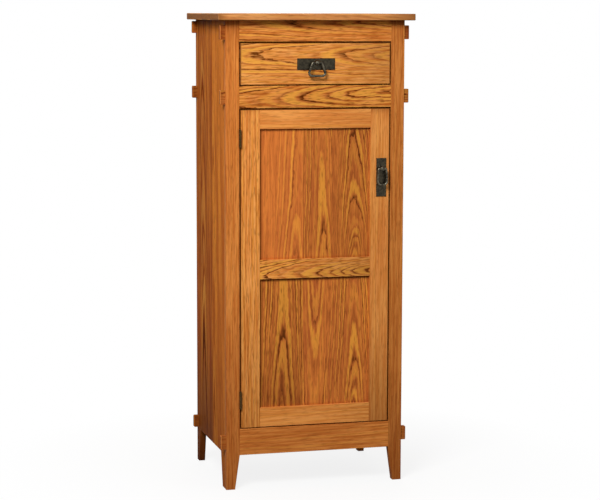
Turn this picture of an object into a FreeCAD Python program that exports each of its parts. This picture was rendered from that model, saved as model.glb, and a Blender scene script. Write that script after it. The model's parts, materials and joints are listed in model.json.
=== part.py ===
import FreeCAD
import Part
import Sketcher
import math
import os
import re
from collections import namedtuple

from FreeCAD import Placement, Rotation, Vector

# A tall narrow jelly cupboard: one drawer over one framed door, on tapered feet.
# Millimetres, +Z up, the front faces -Y, origin on the floor under the middle of the top.

# Driving sizes: alias, value, meaning
SIZES = (
    ("overall_height", 1372.0, "floor to the upper face of the top"),
    ("body_width", 530.0, "outside of one side to the outside of the other"),
    ("body_depth", 407.0, "face frame's front to the back edge of the sides"),
    ("edge_ease", 0.8, "rounding sanded on long edges"),
    ("snug_gap", 0.1, "room round glued and fitted pieces"),
    ("running_gap", 0.05, "room round pins that turn"),

    ("top_thickness", 19.0, "slab"),
    ("top_side_overhang", 25.0, "slab past the sides"),
    ("top_front_overhang", 25.0, "slab past the face frame"),
    ("top_back_overhang", 13.0, "slab past the back"),
    ("top_edge_radius", 2.5, "rounding on the slab"),
    ("cleat_width", 20.0, "strips that hold the top"),
    ("cleat_height", 20.0, "strips that hold the top"),
    ("top_screw_diameter", 4.5, "screws up into the top"),
    ("top_screw_head", 9.0, "head diameter"),
    ("top_screw_head_height", 3.0, "head below the cleat"),
    ("top_screw_bite", 12.0, "depth in the top"),

    ("frame_thickness", 22.0, "face frame, front to back"),
    ("stile_width", 40.0, "face frame uprights"),
    ("top_rail_width", 60.0, "rail under the top"),
    ("middle_rail_width", 63.5, "rail between drawer and door"),
    ("bottom_rail_width", 77.0, "rail under the door"),
    ("drawer_opening_height", 125.0, "between top and middle rails"),
    ("foot_height", 101.0, "floor to the bottom rail"),
    ("front_toe_width", 26.0, "stile's foot at the floor"),
    ("tenon_height", 40.0, "through tenons of the face frame"),
    ("tenon_thickness", 14.0, "through tenons, front to back"),
    ("tenon_reach", 15.0, "tenon end past the outside face"),
    ("tenon_setback", 4.0, "frame's front to the tenon"),
    ("tenon_chamfer", 2.0, "bevel round the tenon end"),
    ("top_tenon_drop", 4.0, "top tenons below the rail's middle"),

    ("side_thickness", 18.0, "side boards"),
    ("side_front_width", 160.0, "front board of a side"),
    ("side_foot_width", 50.0, "side's front foot at its top, behind the frame"),
    ("side_toe_width", 28.0, "side's front foot at the floor"),
    ("back_foot_width", 50.0, "side's back foot at its top"),
    ("back_toe_width", 28.0, "side's back foot at the floor"),
    ("back_panel_thickness", 6.0, "panel let into the back"),
    ("back_rabbet_depth", 9.0, "rabbet across the side's thickness"),
    ("back_rail_thickness", 20.0, "back rails, front to back"),
    ("back_rail_width", 45.0, "upper and middle back rails"),
    ("back_tenon_height", 36.0, "through tenons of the back rails"),
    ("back_bottom_tenon_drop", 6.5, "lowest back tenons below the rail's middle"),
    ("back_tenon_setback", 3.0, "back of the back rail to its tenon"),
    ("floor_thickness", 19.0, "cabinet floor"),
    ("dado_depth", 6.0, "groove in the sides for the floor"),

    ("shelf_thickness", 19.0, "loose shelves"),
    ("shelf_clearance", 1.0, "shelf to the sides and the back rails"),
    ("shelf_setback", 10.0, "behind the face frame"),
    ("first_shelf_rise", 222.0, "floor to the lowest shelf"),
    ("shelf_spacing", 236.0, "shelf to shelf"),
    ("peg_diameter", 6.0, "shelf pegs"),
    ("peg_length", 20.0, "shelf pegs"),
    ("peg_hole_depth", 10.0, "holes for the pegs"),
    ("peg_inset", 45.0, "shelf edge to its peg"),
    ("peg_hole_pitch", 32.0, "spare hole to peg"),

    ("drawer_gap", 3.5, "drawer front to its opening"),
    ("drawer_front_thickness", 20.0, "drawer front"),
    ("drawer_side_thickness", 13.0, "drawer sides"),
    ("drawer_back_thickness", 13.0, "drawer back"),
    ("drawer_side_relief", 20.0, "drawer side lower than its opening"),
    ("drawer_back_room", 36.0, "behind the drawer, filled by the stops"),
    ("drawer_bottom_thickness", 6.0, "drawer bottom"),
    ("drawer_bottom_rise", 10.0, "below the drawer bottom"),
    ("drawer_groove_depth", 6.0, "groove for the drawer bottom"),
    ("drawer_bottom_play", 0.5, "drawer bottom to the ends of its grooves"),
    ("dovetail_lap", 6.0, "wood that hides the tails at the front"),
    ("dovetail_slope", 7.0, "run for a rise of one"),
    ("tail_gap", 10.0, "pin between two tails, at the tips"),
    ("slide_gap", 0.3, "drawer to its runners and stops"),
    ("guide_gap", 1.0, "drawer to the guide lips"),
    ("runner_thickness", 20.0, "runner under the drawer side"),
    ("runner_ledge", 18.0, "runner past its guide lip"),
    ("guide_height", 25.0, "guide lip above the runner"),
    ("kicker_thickness", 18.0, "strip above the drawer side"),
    ("kicker_gap", 1.5, "drawer side to kicker"),
    ("stop_height", 30.0, "drawer stops"),

    ("door_gap", 3.5, "door to its opening, away from the hinges"),
    ("door_thickness", 20.0, "door frame"),
    ("door_stile_width", 57.0, "door uprights"),
    ("door_rail_width", 56.0, "door rails"),
    ("door_panel_thickness", 6.0, "door panels"),
    ("door_panel_setback", 7.0, "door front to the panel"),
    ("door_groove_depth", 10.0, "groove for the panels"),
    ("panel_play", 1.5, "panel to the bottom of its groove"),
    ("door_tenon_length", 30.0, "door rail tenons"),
    ("door_tenon_shoulder", 12.0, "tenon in from the rail's outer edge"),

    ("hinge_length", 51.0, "butt hinges"),
    ("hinge_end_distance", 56.0, "hinge from the door's end"),
    ("leaf_thickness", 2.0, "hinge leaf"),
    ("leaf_width", 16.0, "hinge leaf, front to back"),
    ("leaf_let_in", 0.9, "leaf sunk in the wood"),
    ("leaf_gap", 1.0, "leaf to leaf"),
    ("knuckle_diameter", 7.5, "hinge barrel"),
    ("knuckle_gap", 0.2, "knuckle to knuckle"),
    ("knuckle_clearance", 0.3, "barrel to the face frame"),
    ("hinge_pin_diameter", 3.2, "hinge pin"),
    ("hinge_screw_diameter", 3.0, "hinge screws"),
    ("hinge_screw_head", 6.0, "countersunk head"),
    ("hinge_screw_length", 16.0, "depth in the wood"),
    ("hinge_screw_inset", 11.0, "hinge end to its screw"),

    ("catch_inset", 15.5, "end of the door's top rail to the middle of the catch"),
    ("catch_block_width", 40.0, "block behind the middle rail"),
    ("catch_block_depth", 25.0, "block, front to back"),
    ("catch_block_lap", 35.0, "block up the back of the rail"),
    ("catch_block_margin", 14.0, "block below the magnet's middle"),
    ("catch_block_chamfer", 4.0, "bevel on the block's lower edges"),
    ("magnet_diameter", 10.0, "magnet in the block"),
    ("magnet_socket", 12.0, "depth of its hole"),
    ("strike_diameter", 14.0, "disc on the door"),
    ("strike_thickness", 1.0, "disc on the door"),
    ("strike_shank_diameter", 3.0, "its shank"),
    ("strike_shank_length", 10.0, "its shank"),
    ("catch_gap", 0.2, "strike to magnet"),

    ("plate_length", 112.0, "pull plates"),
    ("drawer_plate_width", 33.0, "plate on the drawer"),
    ("door_plate_width", 30.0, "plate on the door"),
    ("plate_thickness", 2.5, "pull plates"),
    ("plate_chamfer", 1.2, "bevel round the plate"),
    ("post_diameter", 15.0, "post that carries the ring"),
    ("collar_diameter", 19.0, "post's foot"),
    ("collar_height", 2.0, "post's foot"),
    ("collar_chamfer", 1.0, "bevel on the post's foot"),
    ("ring_reach", 10.5, "plate to the ring's axis"),
    ("ring_wire", 7.0, "ring's thickness"),
    ("ring_end_gap", 1.0, "between the ring's two ends"),
    ("ring_top_bend", 5.0, "bend radius beside the post"),
    ("ring_bottom_bend", 9.0, "bend radius at the bottom"),
    ("drawer_ring_top", 30.0, "drawer ring's width at the top bends, between wire middles"),
    ("drawer_ring_bottom", 47.0, "drawer ring's width at the bottom bends"),
    ("drawer_ring_drop", 37.5, "drawer ring's axis to its bottom"),
    ("drawer_pivot_rise", 4.0, "drawer ring's axis above the plate's middle"),
    ("drawer_pull_drop", 1.5, "drawer plate below the front's middle"),
    ("door_ring_top", 24.0, "door ring's width at the top bends"),
    ("door_ring_bottom", 27.0, "door ring's width at the bottom bends"),
    ("door_ring_drop", 46.5, "door ring's axis to its bottom"),
    ("door_pivot_rise", 26.0, "door ring's axis above the plate's middle"),
    ("door_pull_inset", 24.5, "door's edge to the middle of its pull"),
    ("door_pull_fall", 200.0, "door's top to the middle of its pull"),
    ("bolt_diameter", 4.0, "bolt that holds a pull from inside"),
    ("bolt_head", 9.0, "head diameter"),
    ("bolt_head_height", 2.8, "head height"),
    ("bolt_bite", 5.0, "depth in the post"),
)

# Places and sizes that follow from the driving ones
DERIVED = {
    "total_depth": "top_front_overhang + body_depth + top_back_overhang",
    "front": "top_front_overhang - total_depth / 2",
    "back": "front + body_depth",
    "half_width": "body_width / 2",
    "inner_half": "half_width - side_thickness",
    "opening_half": "half_width - stile_width",
    "carcass_top": "overall_height - top_thickness",
    "frame_back": "front + frame_thickness",
    "back_rail_back": "back - back_panel_thickness",
    "back_rail_front": "back_rail_back - back_rail_thickness",
    "inside_depth": "back_rail_front - frame_back",
    "floor_underside": "floor_top - floor_thickness",
    "side_back_width": "body_depth - frame_thickness - side_front_width",
    "floor_top": "foot_height + bottom_rail_width",
    "top_rail_bottom": "carcass_top - top_rail_width",
    "middle_rail_top": "top_rail_bottom - drawer_opening_height",
    "middle_rail_bottom": "middle_rail_top - middle_rail_width",
    "back_tenon_place": "back_rail_thickness - back_tenon_setback - tenon_thickness",

    "shelf_front": "frame_back + shelf_setback",
    "shelf_back": "back_rail_front - shelf_clearance",
    "first_shelf": "floor_top + first_shelf_rise",

    "drawer_half": "opening_half - drawer_gap",
    "drawer_floor": "middle_rail_top + drawer_gap",
    "drawer_front_height": "drawer_opening_height - 2 * drawer_gap",
    "drawer_side_height": "drawer_opening_height - drawer_side_relief",
    "drawer_rear": "back_rail_front - drawer_back_room",
    "drawer_side_length": "drawer_rear - front - dovetail_lap",
    "drawer_back_rise": "drawer_bottom_rise + drawer_bottom_thickness",
    "runner_top": "drawer_floor - slide_gap",
    "guide_width": "inner_half - drawer_half - guide_gap",
    "runner_width": "guide_width + runner_ledge",

    "hinge_gap": "2 * (leaf_thickness - leaf_let_in) + leaf_gap",
    "hinge_x": "hinge_gap / 2 - opening_half",
    "hinge_stand": "knuckle_diameter / 2 + knuckle_clearance",
    "hinge_y": "front - hinge_stand",
    "door_left": "hinge_gap - opening_half",
    "door_right": "opening_half - door_gap",
    "door_bottom": "floor_top + door_gap",
    "door_top": "middle_rail_bottom - door_gap",
    "door_height": "door_top - door_bottom",
    "door_rail_length": "door_right - door_left - 2 * door_stile_width",
    "door_opening_height": "(door_height - 3 * door_rail_width) / 2",
    "door_groove_width": "door_panel_thickness + 2 * snug_gap",
    "lower_hinge": "door_bottom + hinge_end_distance",
    "upper_hinge": "door_top - hinge_end_distance - hinge_length",

    "catch_x": "door_right - door_stile_width - catch_inset",
    "catch_height": "door_top - door_rail_width / 2",
    "strike_back": "front + door_thickness + strike_thickness",
    "magnet_front": "strike_back + catch_gap",
}

# Direction that a round piece's own axis is turned to
TURNS = {
    "x": Rotation(Vector(0, 1, 0), 90),
    "-x": Rotation(Vector(0, 1, 0), -90),
    "y": Rotation(Vector(1, 0, 0), -90),
    "-y": Rotation(Vector(1, 0, 0), 90),
    "z": Rotation(),
}
ORIGIN = ("0", "0", "0")
# How a sketch names the points of its geometry, and its own origin
START = 1
END = 2
CENTRE = 3
SKETCH_X_AXIS = -1
SKETCH_ORIGIN = (SKETCH_X_AXIS, START)
WORD = re.compile(r"[a-z][a-z_0-9]*")
TAILS = 3
SHELVES = ("lower", "middle", "upper")
SPARE_HOLES = 3
TOP_SCREWS = 3
KNUCKLES = 5

doc = FreeCAD.newDocument("jelly_cupboard")
sheet = doc.addObject("Spreadsheet::Sheet", "sizes")
for row, (alias, number, meaning) in enumerate(SIZES, 1):
    sheet.set(f"A{row}", alias)
    sheet.set(f"B{row}", str(number))
    sheet.setAlias(f"B{row}", alias)
    sheet.set(f"C{row}", meaning)
doc.recompute()


# Helpers

def formula(text):
    """Write a formula out in cells of the sheet."""
    def written_out(match):
        word = match.group()
        if word in DERIVED:
            return "(" + formula(DERIVED[word]) + ")"
        return "sizes." + word
    return WORD.sub(written_out, text)


def bind(item, **texts):
    for name, text in texts.items():
        item.setExpression(name, formula(text))


def place(item, at, direction="z"):
    item.Placement = Placement(Vector(), TURNS[direction])
    for axis, text in zip("xyz", at):
        item.setExpression(f"Placement.Base.{axis}", formula(text))


def new_body(label, at, direction="z"):
    body = doc.addObject("PartDesign::Body", label)
    place(body, at, direction)
    return body


def block(body, kind, name, corner, size):
    """One rectangular block, added to a body or cut from it, in the body's own frame."""
    item = body.newObject(f"PartDesign::{kind}Box", f"{body.Name}_{name}")
    bind(item, Length=size[0], Width=size[1], Height=size[2])
    place(item, corner)
    return item


def rod(body, kind, name, at, direction, radius, length):
    """One round block, added to a body or cut from it, in the body's own frame."""
    item = body.newObject(f"PartDesign::{kind}Cylinder", f"{body.Name}_{name}")
    bind(item, Radius=radius, Height=length)
    place(item, at, direction)
    return item


def origin_item(body, role):
    """One of a body's own axes or planes."""
    return next(item for item in body.Origin.OriginFeatures if item.Role == role)


def new_sketch(body, name, plane):
    sketch = body.newObject("Sketcher::SketchObject", f"{body.Name}_{name}")
    sketch.AttachmentSupport = [(origin_item(body, plane), "")]
    sketch.MapMode = "FlatFace"
    return sketch


def constrain(sketch, kind, *where):
    return sketch.addConstraint(Sketcher.Constraint(kind, *where))


def dimension(sketch, kind, where, text):
    """One driving dimension of a sketch, bound to a formula."""
    index = constrain(sketch, kind, *where, measure(text))
    if text != "0":
        sketch.setExpression(f"Constraints[{index}]", formula(text))


def outline(body, plane, points, depth, reverse=False):
    """Pad a closed outline of straight edges, each corner set by a pair of formulas."""
    sketch = new_sketch(body, "outline", plane)
    corners = [Vector(measure(x), measure(y), 0) for x, y in points]
    for start, end in zip(corners, corners[1:] + corners[:1]):
        sketch.addGeometry(Part.LineSegment(start, end))
    for index, (x, y) in enumerate(points):
        constrain(sketch, "Coincident", index, END, (index + 1) % len(points), START)
        dimension(sketch, "DistanceX", (*SKETCH_ORIGIN, index, START), x)
        dimension(sketch, "DistanceY", (*SKETCH_ORIGIN, index, START), y)
    pad = body.newObject("PartDesign::Pad", f"{body.Name}_board")
    pad.Profile = sketch
    pad.Reversed = reverse
    bind(pad, Length=depth)
    return pad


def measure(text):
    """The number that a formula gives with the sheet as it stands."""
    return float(sheet.evalExpression(formula(text)))


def finish_edges(body, feature, wanted, kind, **size):
    """Round or bevel the edges of a feature that a test picks out."""
    doc.recompute()
    edges = [f"Edge{n}" for n, edge in enumerate(feature.Shape.Edges, 1) if wanted(edge)]
    item = body.newObject(f"PartDesign::{kind}", f"{body.Name}_{kind.lower()}")
    item.Base = (feature, edges)
    bind(item, **size)
    return item


def runs_along(axis):
    """A test for edges that run mostly along one axis."""
    def wanted(edge):
        run = edge.lastVertex().Point - edge.firstVertex().Point
        return abs(run[axis]) > run.Length / 2
    return wanted


def lies_at(axis, *places):
    """A test for edges that lie in one of some planes square to an axis."""
    def wanted(edge):
        return any(
            all(math.isclose(vertex.Point[axis], spot, abs_tol=1e-6) for vertex in edge.Vertexes)
            for spot in places)
    return wanted


def board(label, corner, size, grain):
    """A rectangular board with its long edges eased."""
    body = new_body(label, corner)
    blank = block(body, "Additive", "blank", ORIGIN, size)
    finish_edges(body, blank, runs_along(grain), "Fillet", Radius="edge_ease")
    return body


def mirrored(source, label):
    """The opposite hand of a piece, across the middle of the cupboard."""
    item = doc.addObject("Part::Mirroring", label)
    item.Source = source
    item.Normal = (1, 0, 0)
    return item


def solid_box(label, corner, size):
    item = doc.addObject("Part::Box", label)
    bind(item, Length=size[0], Width=size[1], Height=size[2])
    place(item, corner)
    return item


def solid_rod(label, at, direction, radius, length):
    item = doc.addObject("Part::Cylinder", label)
    bind(item, Radius=radius, Height=length)
    place(item, at, direction)
    return item


def group(label, items):
    item = doc.addObject("Part::Compound", label)
    item.Links = items
    return item


def fused(label, items):
    item = doc.addObject("Part::MultiFuse", label)
    item.Shapes = items
    return item


def cut(label, base, tools):
    """A piece with the room for other pieces taken out of it."""
    item = doc.addObject("Part::Cut", label)
    item.Base = base
    item.Tool = group(f"{label}_room", tools)
    return item


nodes = []


def keep(*items):
    nodes.extend(items)


# Joinery shared by the front and back rails

# lower edge and width of a rail, height of its tenons, and their middle's drop below the rail's middle
Rail = namedtuple("Rail", "name bottom width tenon drop")
FRONT_RAILS = (
    Rail("top", "top_rail_bottom", "top_rail_width", "tenon_height", "top_tenon_drop"),
    Rail("middle", "middle_rail_bottom", "middle_rail_width", "tenon_height", "0"),
    Rail("bottom", "foot_height", "bottom_rail_width", "tenon_height", "0"),
)
# The lowest back rail reaches up to the cabinet floor and carries it.
BACK_RAILS = (
    Rail("top", "carcass_top - back_rail_width", "back_rail_width", "back_tenon_height", "0"),
    Rail("middle", "middle_rail_bottom + (middle_rail_width - back_rail_width) / 2", "back_rail_width",
         "back_tenon_height", "0"),
    Rail("bottom", "foot_height", "(floor_underside - foot_height)", "back_tenon_height",
         "back_bottom_tenon_drop"),
)


def tenon_lift(rail):
    return f"({rail.width} - {rail.tenon}) / 2 - {rail.drop}"


def tenoned_rail(label, half_length, y, thickness, upright, tenon_place, rail):
    """A rail whose tenons pass through the uprights and stand proud of them, bevelled."""
    body = new_body(label, (f"-{half_length}", y, rail.bottom))
    bar = block(body, "Additive", "bar", ORIGIN, (f"2 * {half_length}", thickness, rail.width))
    finish_edges(body, bar, runs_along(0), "Fillet", Radius="edge_ease")
    past = f"({upright} + tenon_reach)"
    tenon = block(
        body, "Additive", "tenons", (f"-{past}", tenon_place, tenon_lift(rail)),
        (f"2 * {half_length} + 2 * {past}", "tenon_thickness", rail.tenon))
    ends = lies_at(0, measure(f"-{past}"), measure(f"2 * {half_length} + {past}"))
    finish_edges(body, tenon, ends, "Chamfer", Size="tenon_chamfer")
    return body


def through_mortises(body, length, y, rails):
    """Openings through an upright for the tenons of some rails."""
    for rail in rails:
        block(
            body, "Subtractive", f"{rail.name}_mortise",
            ("0", f"{y} - snug_gap", f"{rail.bottom} + {tenon_lift(rail)} - snug_gap"),
            (length, "tenon_thickness + 2 * snug_gap", f"{rail.tenon} + 2 * snug_gap"))


# Screws and bolts

def flat_head_screw(name, at, direction, head_height):
    """A countersunk screw; its head's flat is at the given point."""
    head = doc.addObject("Part::Cone", f"{name}_head")
    bind(head, Radius1="hinge_screw_head / 2", Radius2="hinge_screw_diameter / 2", Height=head_height)
    place(head, at, direction)
    shank = solid_rod(
        f"{name}_shank", at, direction, "hinge_screw_diameter / 2", f"{head_height} + hinge_screw_length")
    return fused(name, [head, shank])


def round_head_screw(name, at, direction, shank, head):
    """A screw or bolt whose head's seat is at the given point; sizes are (diameter, length)."""
    back = {"z": "z", "-y": "y"}[direction]
    turn = {"z": (at[0], at[1], f"{at[2]} - {head[1]}"), "-y": at}[direction]
    return fused(name, [
        solid_rod(f"{name}_shank", at, direction, f"{shank[0]} / 2", shank[1]),
        solid_rod(f"{name}_head", turn, back, f"{head[0]} / 2", head[1])])


# Top

slab = new_body("top_slab", ("-half_width - top_side_overhang", "-total_depth / 2", "carcass_top"))
slab_block = block(
    slab, "Additive", "blank", ORIGIN,
    ("body_width + 2 * top_side_overhang", "total_depth", "top_thickness"))
finish_edges(slab, slab_block, lambda edge: True, "Fillet", Radius="top_edge_radius")

top_screws = {}
for hand, side in (("left", "-"), ("right", "")):
    top_screws[hand] = [
        round_head_screw(
            f"top_screw_{hand}_{index}",
            (f"{side}(inner_half - cleat_width / 2)",
             f"frame_back + inside_depth * {2 * index + 1} / {2 * TOP_SCREWS}",
             "carcass_top - cleat_height"),
            "z",
            ("top_screw_diameter", "cleat_height + top_screw_bite"),
            ("top_screw_head", "top_screw_head_height"))
        for index in range(TOP_SCREWS)]
all_top_screws = group("top_screws", top_screws["left"] + top_screws["right"])
top = cut("top", slab, [all_top_screws])

cleat = board(
    "top_cleat_blank", ("-inner_half", "frame_back", "carcass_top - cleat_height"),
    ("cleat_width", "inside_depth", "cleat_height"), grain=1)
cleat_left = cut("top_cleat_left", cleat, top_screws["left"])
cleat_right = mirrored(cleat_left, "top_cleat_right")
keep(top, all_top_screws, cleat_left, cleat_right)

# Face frame

stile = new_body("face_stile_blank", ("-half_width", "front", "0"))
stile_pad = outline(
    stile, "XZ_Plane",
    [("0", "0"), ("front_toe_width", "0"), ("stile_width", "foot_height"),
     ("stile_width", "carcass_top"), ("0", "carcass_top")],
    "frame_thickness", reverse=True)
finish_edges(stile, stile_pad, runs_along(2), "Fillet", Radius="edge_ease")
through_mortises(stile, "stile_width", "tenon_setback", FRONT_RAILS)
keep(mirrored(stile, "face_stile_right"))

for rail in FRONT_RAILS:
    keep(tenoned_rail(
        f"face_rail_{rail[0]}", "opening_half", "front", "frame_thickness",
        "stile_width", "tenon_setback", rail))

# Sides, each of two boards glued edge to edge

def peg_holes(body, y):
    """A column of peg holes: one at each shelf, with a spare above and below."""
    hole = rod(
        body, "Subtractive", "peg_hole",
        ("side_thickness - peg_hole_depth - snug_gap", y, "first_shelf - peg_diameter / 2 - peg_hole_pitch"),
        "x", "peg_diameter / 2 + snug_gap", "peg_hole_depth + snug_gap")
    doc.recompute()
    column = body.newObject("PartDesign::MultiTransform", f"{body.Name}_peg_holes")
    column.Originals = [hole]
    patterns = []
    for name, count, step in (
            ("spare", SPARE_HOLES, "peg_hole_pitch"), ("shelf", len(SHELVES), "shelf_spacing")):
        pattern = body.newObject("PartDesign::LinearPattern", f"{body.Name}_{name}_holes")
        pattern.Direction = (origin_item(body, "Z_Axis"), [""])
        pattern.Occurrences = count
        bind(pattern, Length=f"{count - 1} * {step}")
        patterns.append(pattern)
    column.Transformations = patterns
    body.Tip = column


front_board = new_body("side_left_front_board", ("-half_width", "frame_back", "0"))
front_pad = outline(
    front_board, "YZ_Plane",
    [("0", "0"), ("side_toe_width", "0"), ("side_foot_width", "foot_height"),
     ("side_front_width", "foot_height"), ("side_front_width", "carcass_top"), ("0", "carcass_top")],
    "side_thickness")
finish_edges(front_board, front_pad, runs_along(2), "Fillet", Radius="edge_ease")
DADO = ("dado_depth + snug_gap", "floor_thickness + 2 * snug_gap")
DADO_PLACE = ("side_thickness - dado_depth - snug_gap", "floor_underside - snug_gap")
block(
    front_board, "Subtractive", "dado", (DADO_PLACE[0], "0", DADO_PLACE[1]),
    (DADO[0], "side_front_width", DADO[1]))
peg_holes(front_board, "shelf_setback + peg_inset")

back_board = new_body("side_left_back_board", ("-half_width", "frame_back + side_front_width", "0"))
back_pad = outline(
    back_board, "YZ_Plane",
    [("0", "foot_height"), ("side_back_width - back_foot_width", "foot_height"),
     ("side_back_width - back_toe_width", "0"), ("side_back_width", "0"),
     ("side_back_width", "carcass_top"), ("0", "carcass_top")],
    "side_thickness")
finish_edges(back_board, back_pad, runs_along(2), "Fillet", Radius="edge_ease")
BACK_RAIL_Y = "side_back_width - back_panel_thickness - back_rail_thickness"
block(
    back_board, "Subtractive", "dado", (DADO_PLACE[0], "0", DADO_PLACE[1]),
    (DADO[0], f"{BACK_RAIL_Y} + back_rail_thickness", DADO[1]))
block(
    back_board, "Subtractive", "rabbet",
    ("side_thickness - back_rabbet_depth", "side_back_width - back_panel_thickness", "foot_height"),
    ("back_rabbet_depth", "back_panel_thickness", "carcass_top - foot_height"))
through_mortises(back_board, "side_thickness", f"{BACK_RAIL_Y} + back_tenon_place", BACK_RAILS)
peg_holes(back_board, f"{BACK_RAIL_Y} - shelf_clearance - peg_inset")

keep(front_board, back_board)
keep(mirrored(front_board, "side_right_front_board"), mirrored(back_board, "side_right_back_board"))

# Back and floor

for rail in BACK_RAILS:
    keep(tenoned_rail(
        f"back_rail_{rail[0]}", "inner_half", "back_rail_front", "back_rail_thickness",
        "side_thickness", "back_tenon_place", rail))

BACK_PANEL_HALF = "(inner_half + back_rabbet_depth - snug_gap)"
back_panel = new_body("back_panel", (f"-{BACK_PANEL_HALF}", "back_rail_back", "foot_height"))
block(
    back_panel, "Additive", "sheet", ORIGIN,
    (f"2 * {BACK_PANEL_HALF}", "back_panel_thickness", "carcass_top - foot_height"))

FLOOR_HALF = "(inner_half + dado_depth)"
floor = new_body("cabinet_floor", (f"-{FLOOR_HALF}", "frame_back", "floor_underside"))
block(
    floor, "Additive", "panel", ORIGIN,
    (f"2 * {FLOOR_HALF}", "back_rail_back - frame_back", "floor_thickness"))
keep(back_panel, floor)

# Shelves and pegs

SHELF_HALF = "(inner_half - shelf_clearance)"
pegs = []
for index, name in enumerate(SHELVES):
    underside = f"first_shelf + {index} * shelf_spacing"
    keep(board(
        f"shelf_{name}", (f"-{SHELF_HALF}", "shelf_front", underside),
        (f"2 * {SHELF_HALF}", "shelf_back - shelf_front", "shelf_thickness"), grain=0))
    for hand, side, inward in (("left", "-", "x"), ("right", "", "-x")):
        for spot, y in (("front", "shelf_front + peg_inset"), ("back", "shelf_back - peg_inset")):
            pegs.append(solid_rod(
                f"shelf_peg_{name}_{hand}_{spot}",
                (f"{side}(inner_half + peg_hole_depth)", y, f"{underside} - peg_diameter / 2"),
                inward, "peg_diameter / 2", "peg_length"))
keep(group("shelf_pegs", pegs))

# What the drawer runs in

runner = new_body("drawer_runner_left", ("-inner_half", "frame_back", "runner_top - runner_thickness"))
outline(
    runner, "XZ_Plane",
    [("0", "0"), ("runner_width", "0"), ("runner_width", "runner_thickness"),
     ("guide_width", "runner_thickness"), ("guide_width", "runner_thickness + guide_height"),
     ("0", "runner_thickness + guide_height")],
    "inside_depth", reverse=True)
keep(runner, mirrored(runner, "drawer_runner_right"))

kicker = board(
    "drawer_kicker_left", ("-inner_half", "frame_back", "drawer_floor + drawer_side_height + kicker_gap"),
    ("runner_width", "inside_depth", "kicker_thickness"), grain=1)
keep(kicker, mirrored(kicker, "drawer_kicker_right"))

STOP_LENGTH = "(drawer_back_room - slide_gap)"
stop_left = solid_box(
    "drawer_stop_left", ("guide_width - inner_half", f"back_rail_front - {STOP_LENGTH}", "runner_top"),
    ("runner_ledge", STOP_LENGTH, "stop_height"))
keep(group("drawer_stops", [stop_left, mirrored(stop_left, "drawer_stop_right")]))

# Drawer box, dovetailed at both ends

def tail_corners(shoulder, tip, depth, low, high):
    """Corners of a row of tails from low to high, narrow at the shoulder and wide at the tip."""
    corners = []
    for index in range(TAILS):
        middle = f"({low} + ({high} - {low}) * {2 * index + 1} / {2 * TAILS})"
        half = f"(({high} - {low}) / {TAILS} - tail_gap) / 2"
        root = f"{half} - {depth} / dovetail_slope"
        corners += [
            (shoulder, f"{middle} - ({root})"), (tip, f"{middle} - {half}"),
            (tip, f"{middle} + {half}"), (shoulder, f"{middle} + {root}")]
    return corners


TAIL_DEPTH = "(drawer_front_thickness - dovetail_lap)"
BACK_SHOULDER = "(drawer_side_length - drawer_back_thickness)"
front_tails = tail_corners(TAIL_DEPTH, "0", TAIL_DEPTH, "0", "drawer_side_height")
back_tails = tail_corners(
    BACK_SHOULDER, "drawer_side_length", "drawer_back_thickness", "drawer_back_rise", "drawer_side_height")

drawer_side = new_body(
    "drawer_side_blank_left", ("-drawer_half", "front + dovetail_lap", "drawer_floor"))
outline(
    drawer_side, "YZ_Plane",
    [(TAIL_DEPTH, "0"), *front_tails, (TAIL_DEPTH, "drawer_side_height"),
     (BACK_SHOULDER, "drawer_side_height"), *reversed(back_tails),
     (BACK_SHOULDER, "drawer_back_rise"), ("drawer_side_length", "drawer_back_rise"),
     ("drawer_side_length", "0")],
    "drawer_side_thickness")
drawer_side_opposite = mirrored(drawer_side, "drawer_side_blank_right")

GROOVE_Z = "drawer_floor + drawer_bottom_rise - snug_gap"
GROOVE_HEIGHT = "drawer_bottom_thickness + 2 * snug_gap"
GROOVE_HALF = "(drawer_half - drawer_side_thickness + drawer_groove_depth)"
side_groove = solid_box(
    "drawer_side_groove", (f"-{GROOVE_HALF}", "front + dovetail_lap", GROOVE_Z),
    ("drawer_groove_depth", "drawer_side_length", GROOVE_HEIGHT))
drawer_side_left = cut("drawer_side_left", drawer_side, [side_groove])
keep(drawer_side_left, mirrored(drawer_side_left, "drawer_side_right"))

drawer_face = new_body("drawer_front_blank", ("-drawer_half", "front", "drawer_floor"))
face_block = block(
    drawer_face, "Additive", "blank", ORIGIN,
    ("2 * drawer_half", "drawer_front_thickness", "drawer_front_height"))
finish_edges(drawer_face, face_block, lies_at(1, 0), "Fillet", Radius="edge_ease")
front_groove = solid_box(
    "drawer_front_groove",
    (f"-{GROOVE_HALF}", "front + drawer_front_thickness - drawer_groove_depth", GROOVE_Z),
    (f"2 * {GROOVE_HALF}", "drawer_groove_depth", GROOVE_HEIGHT))

drawer_back_blank = solid_box(
    "drawer_back_blank",
    ("-drawer_half", "drawer_rear - drawer_back_thickness", "drawer_floor + drawer_back_rise"),
    ("2 * drawer_half", "drawer_back_thickness", "drawer_side_height - drawer_back_rise"))
keep(cut("drawer_back", drawer_back_blank, [drawer_side, drawer_side_opposite]))

BOTTOM_HALF = f"({GROOVE_HALF} - drawer_bottom_play)"
BOTTOM_FRONT = "(front + drawer_front_thickness - drawer_groove_depth + drawer_bottom_play)"
keep(solid_box(
    "drawer_bottom", (f"-{BOTTOM_HALF}", BOTTOM_FRONT, "drawer_floor + drawer_bottom_rise"),
    (f"2 * {BOTTOM_HALF}", f"drawer_rear - {BOTTOM_FRONT}", "drawer_bottom_thickness")))

# Door frame and panels

PANEL_Y = "door_panel_setback"
GROOVE_Y = "door_panel_setback - snug_gap"
MIDDLE_RAIL_LIFT = "(door_rail_width + door_opening_height)"
TOP_RAIL_LIFT = "(door_height - door_rail_width)"
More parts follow.
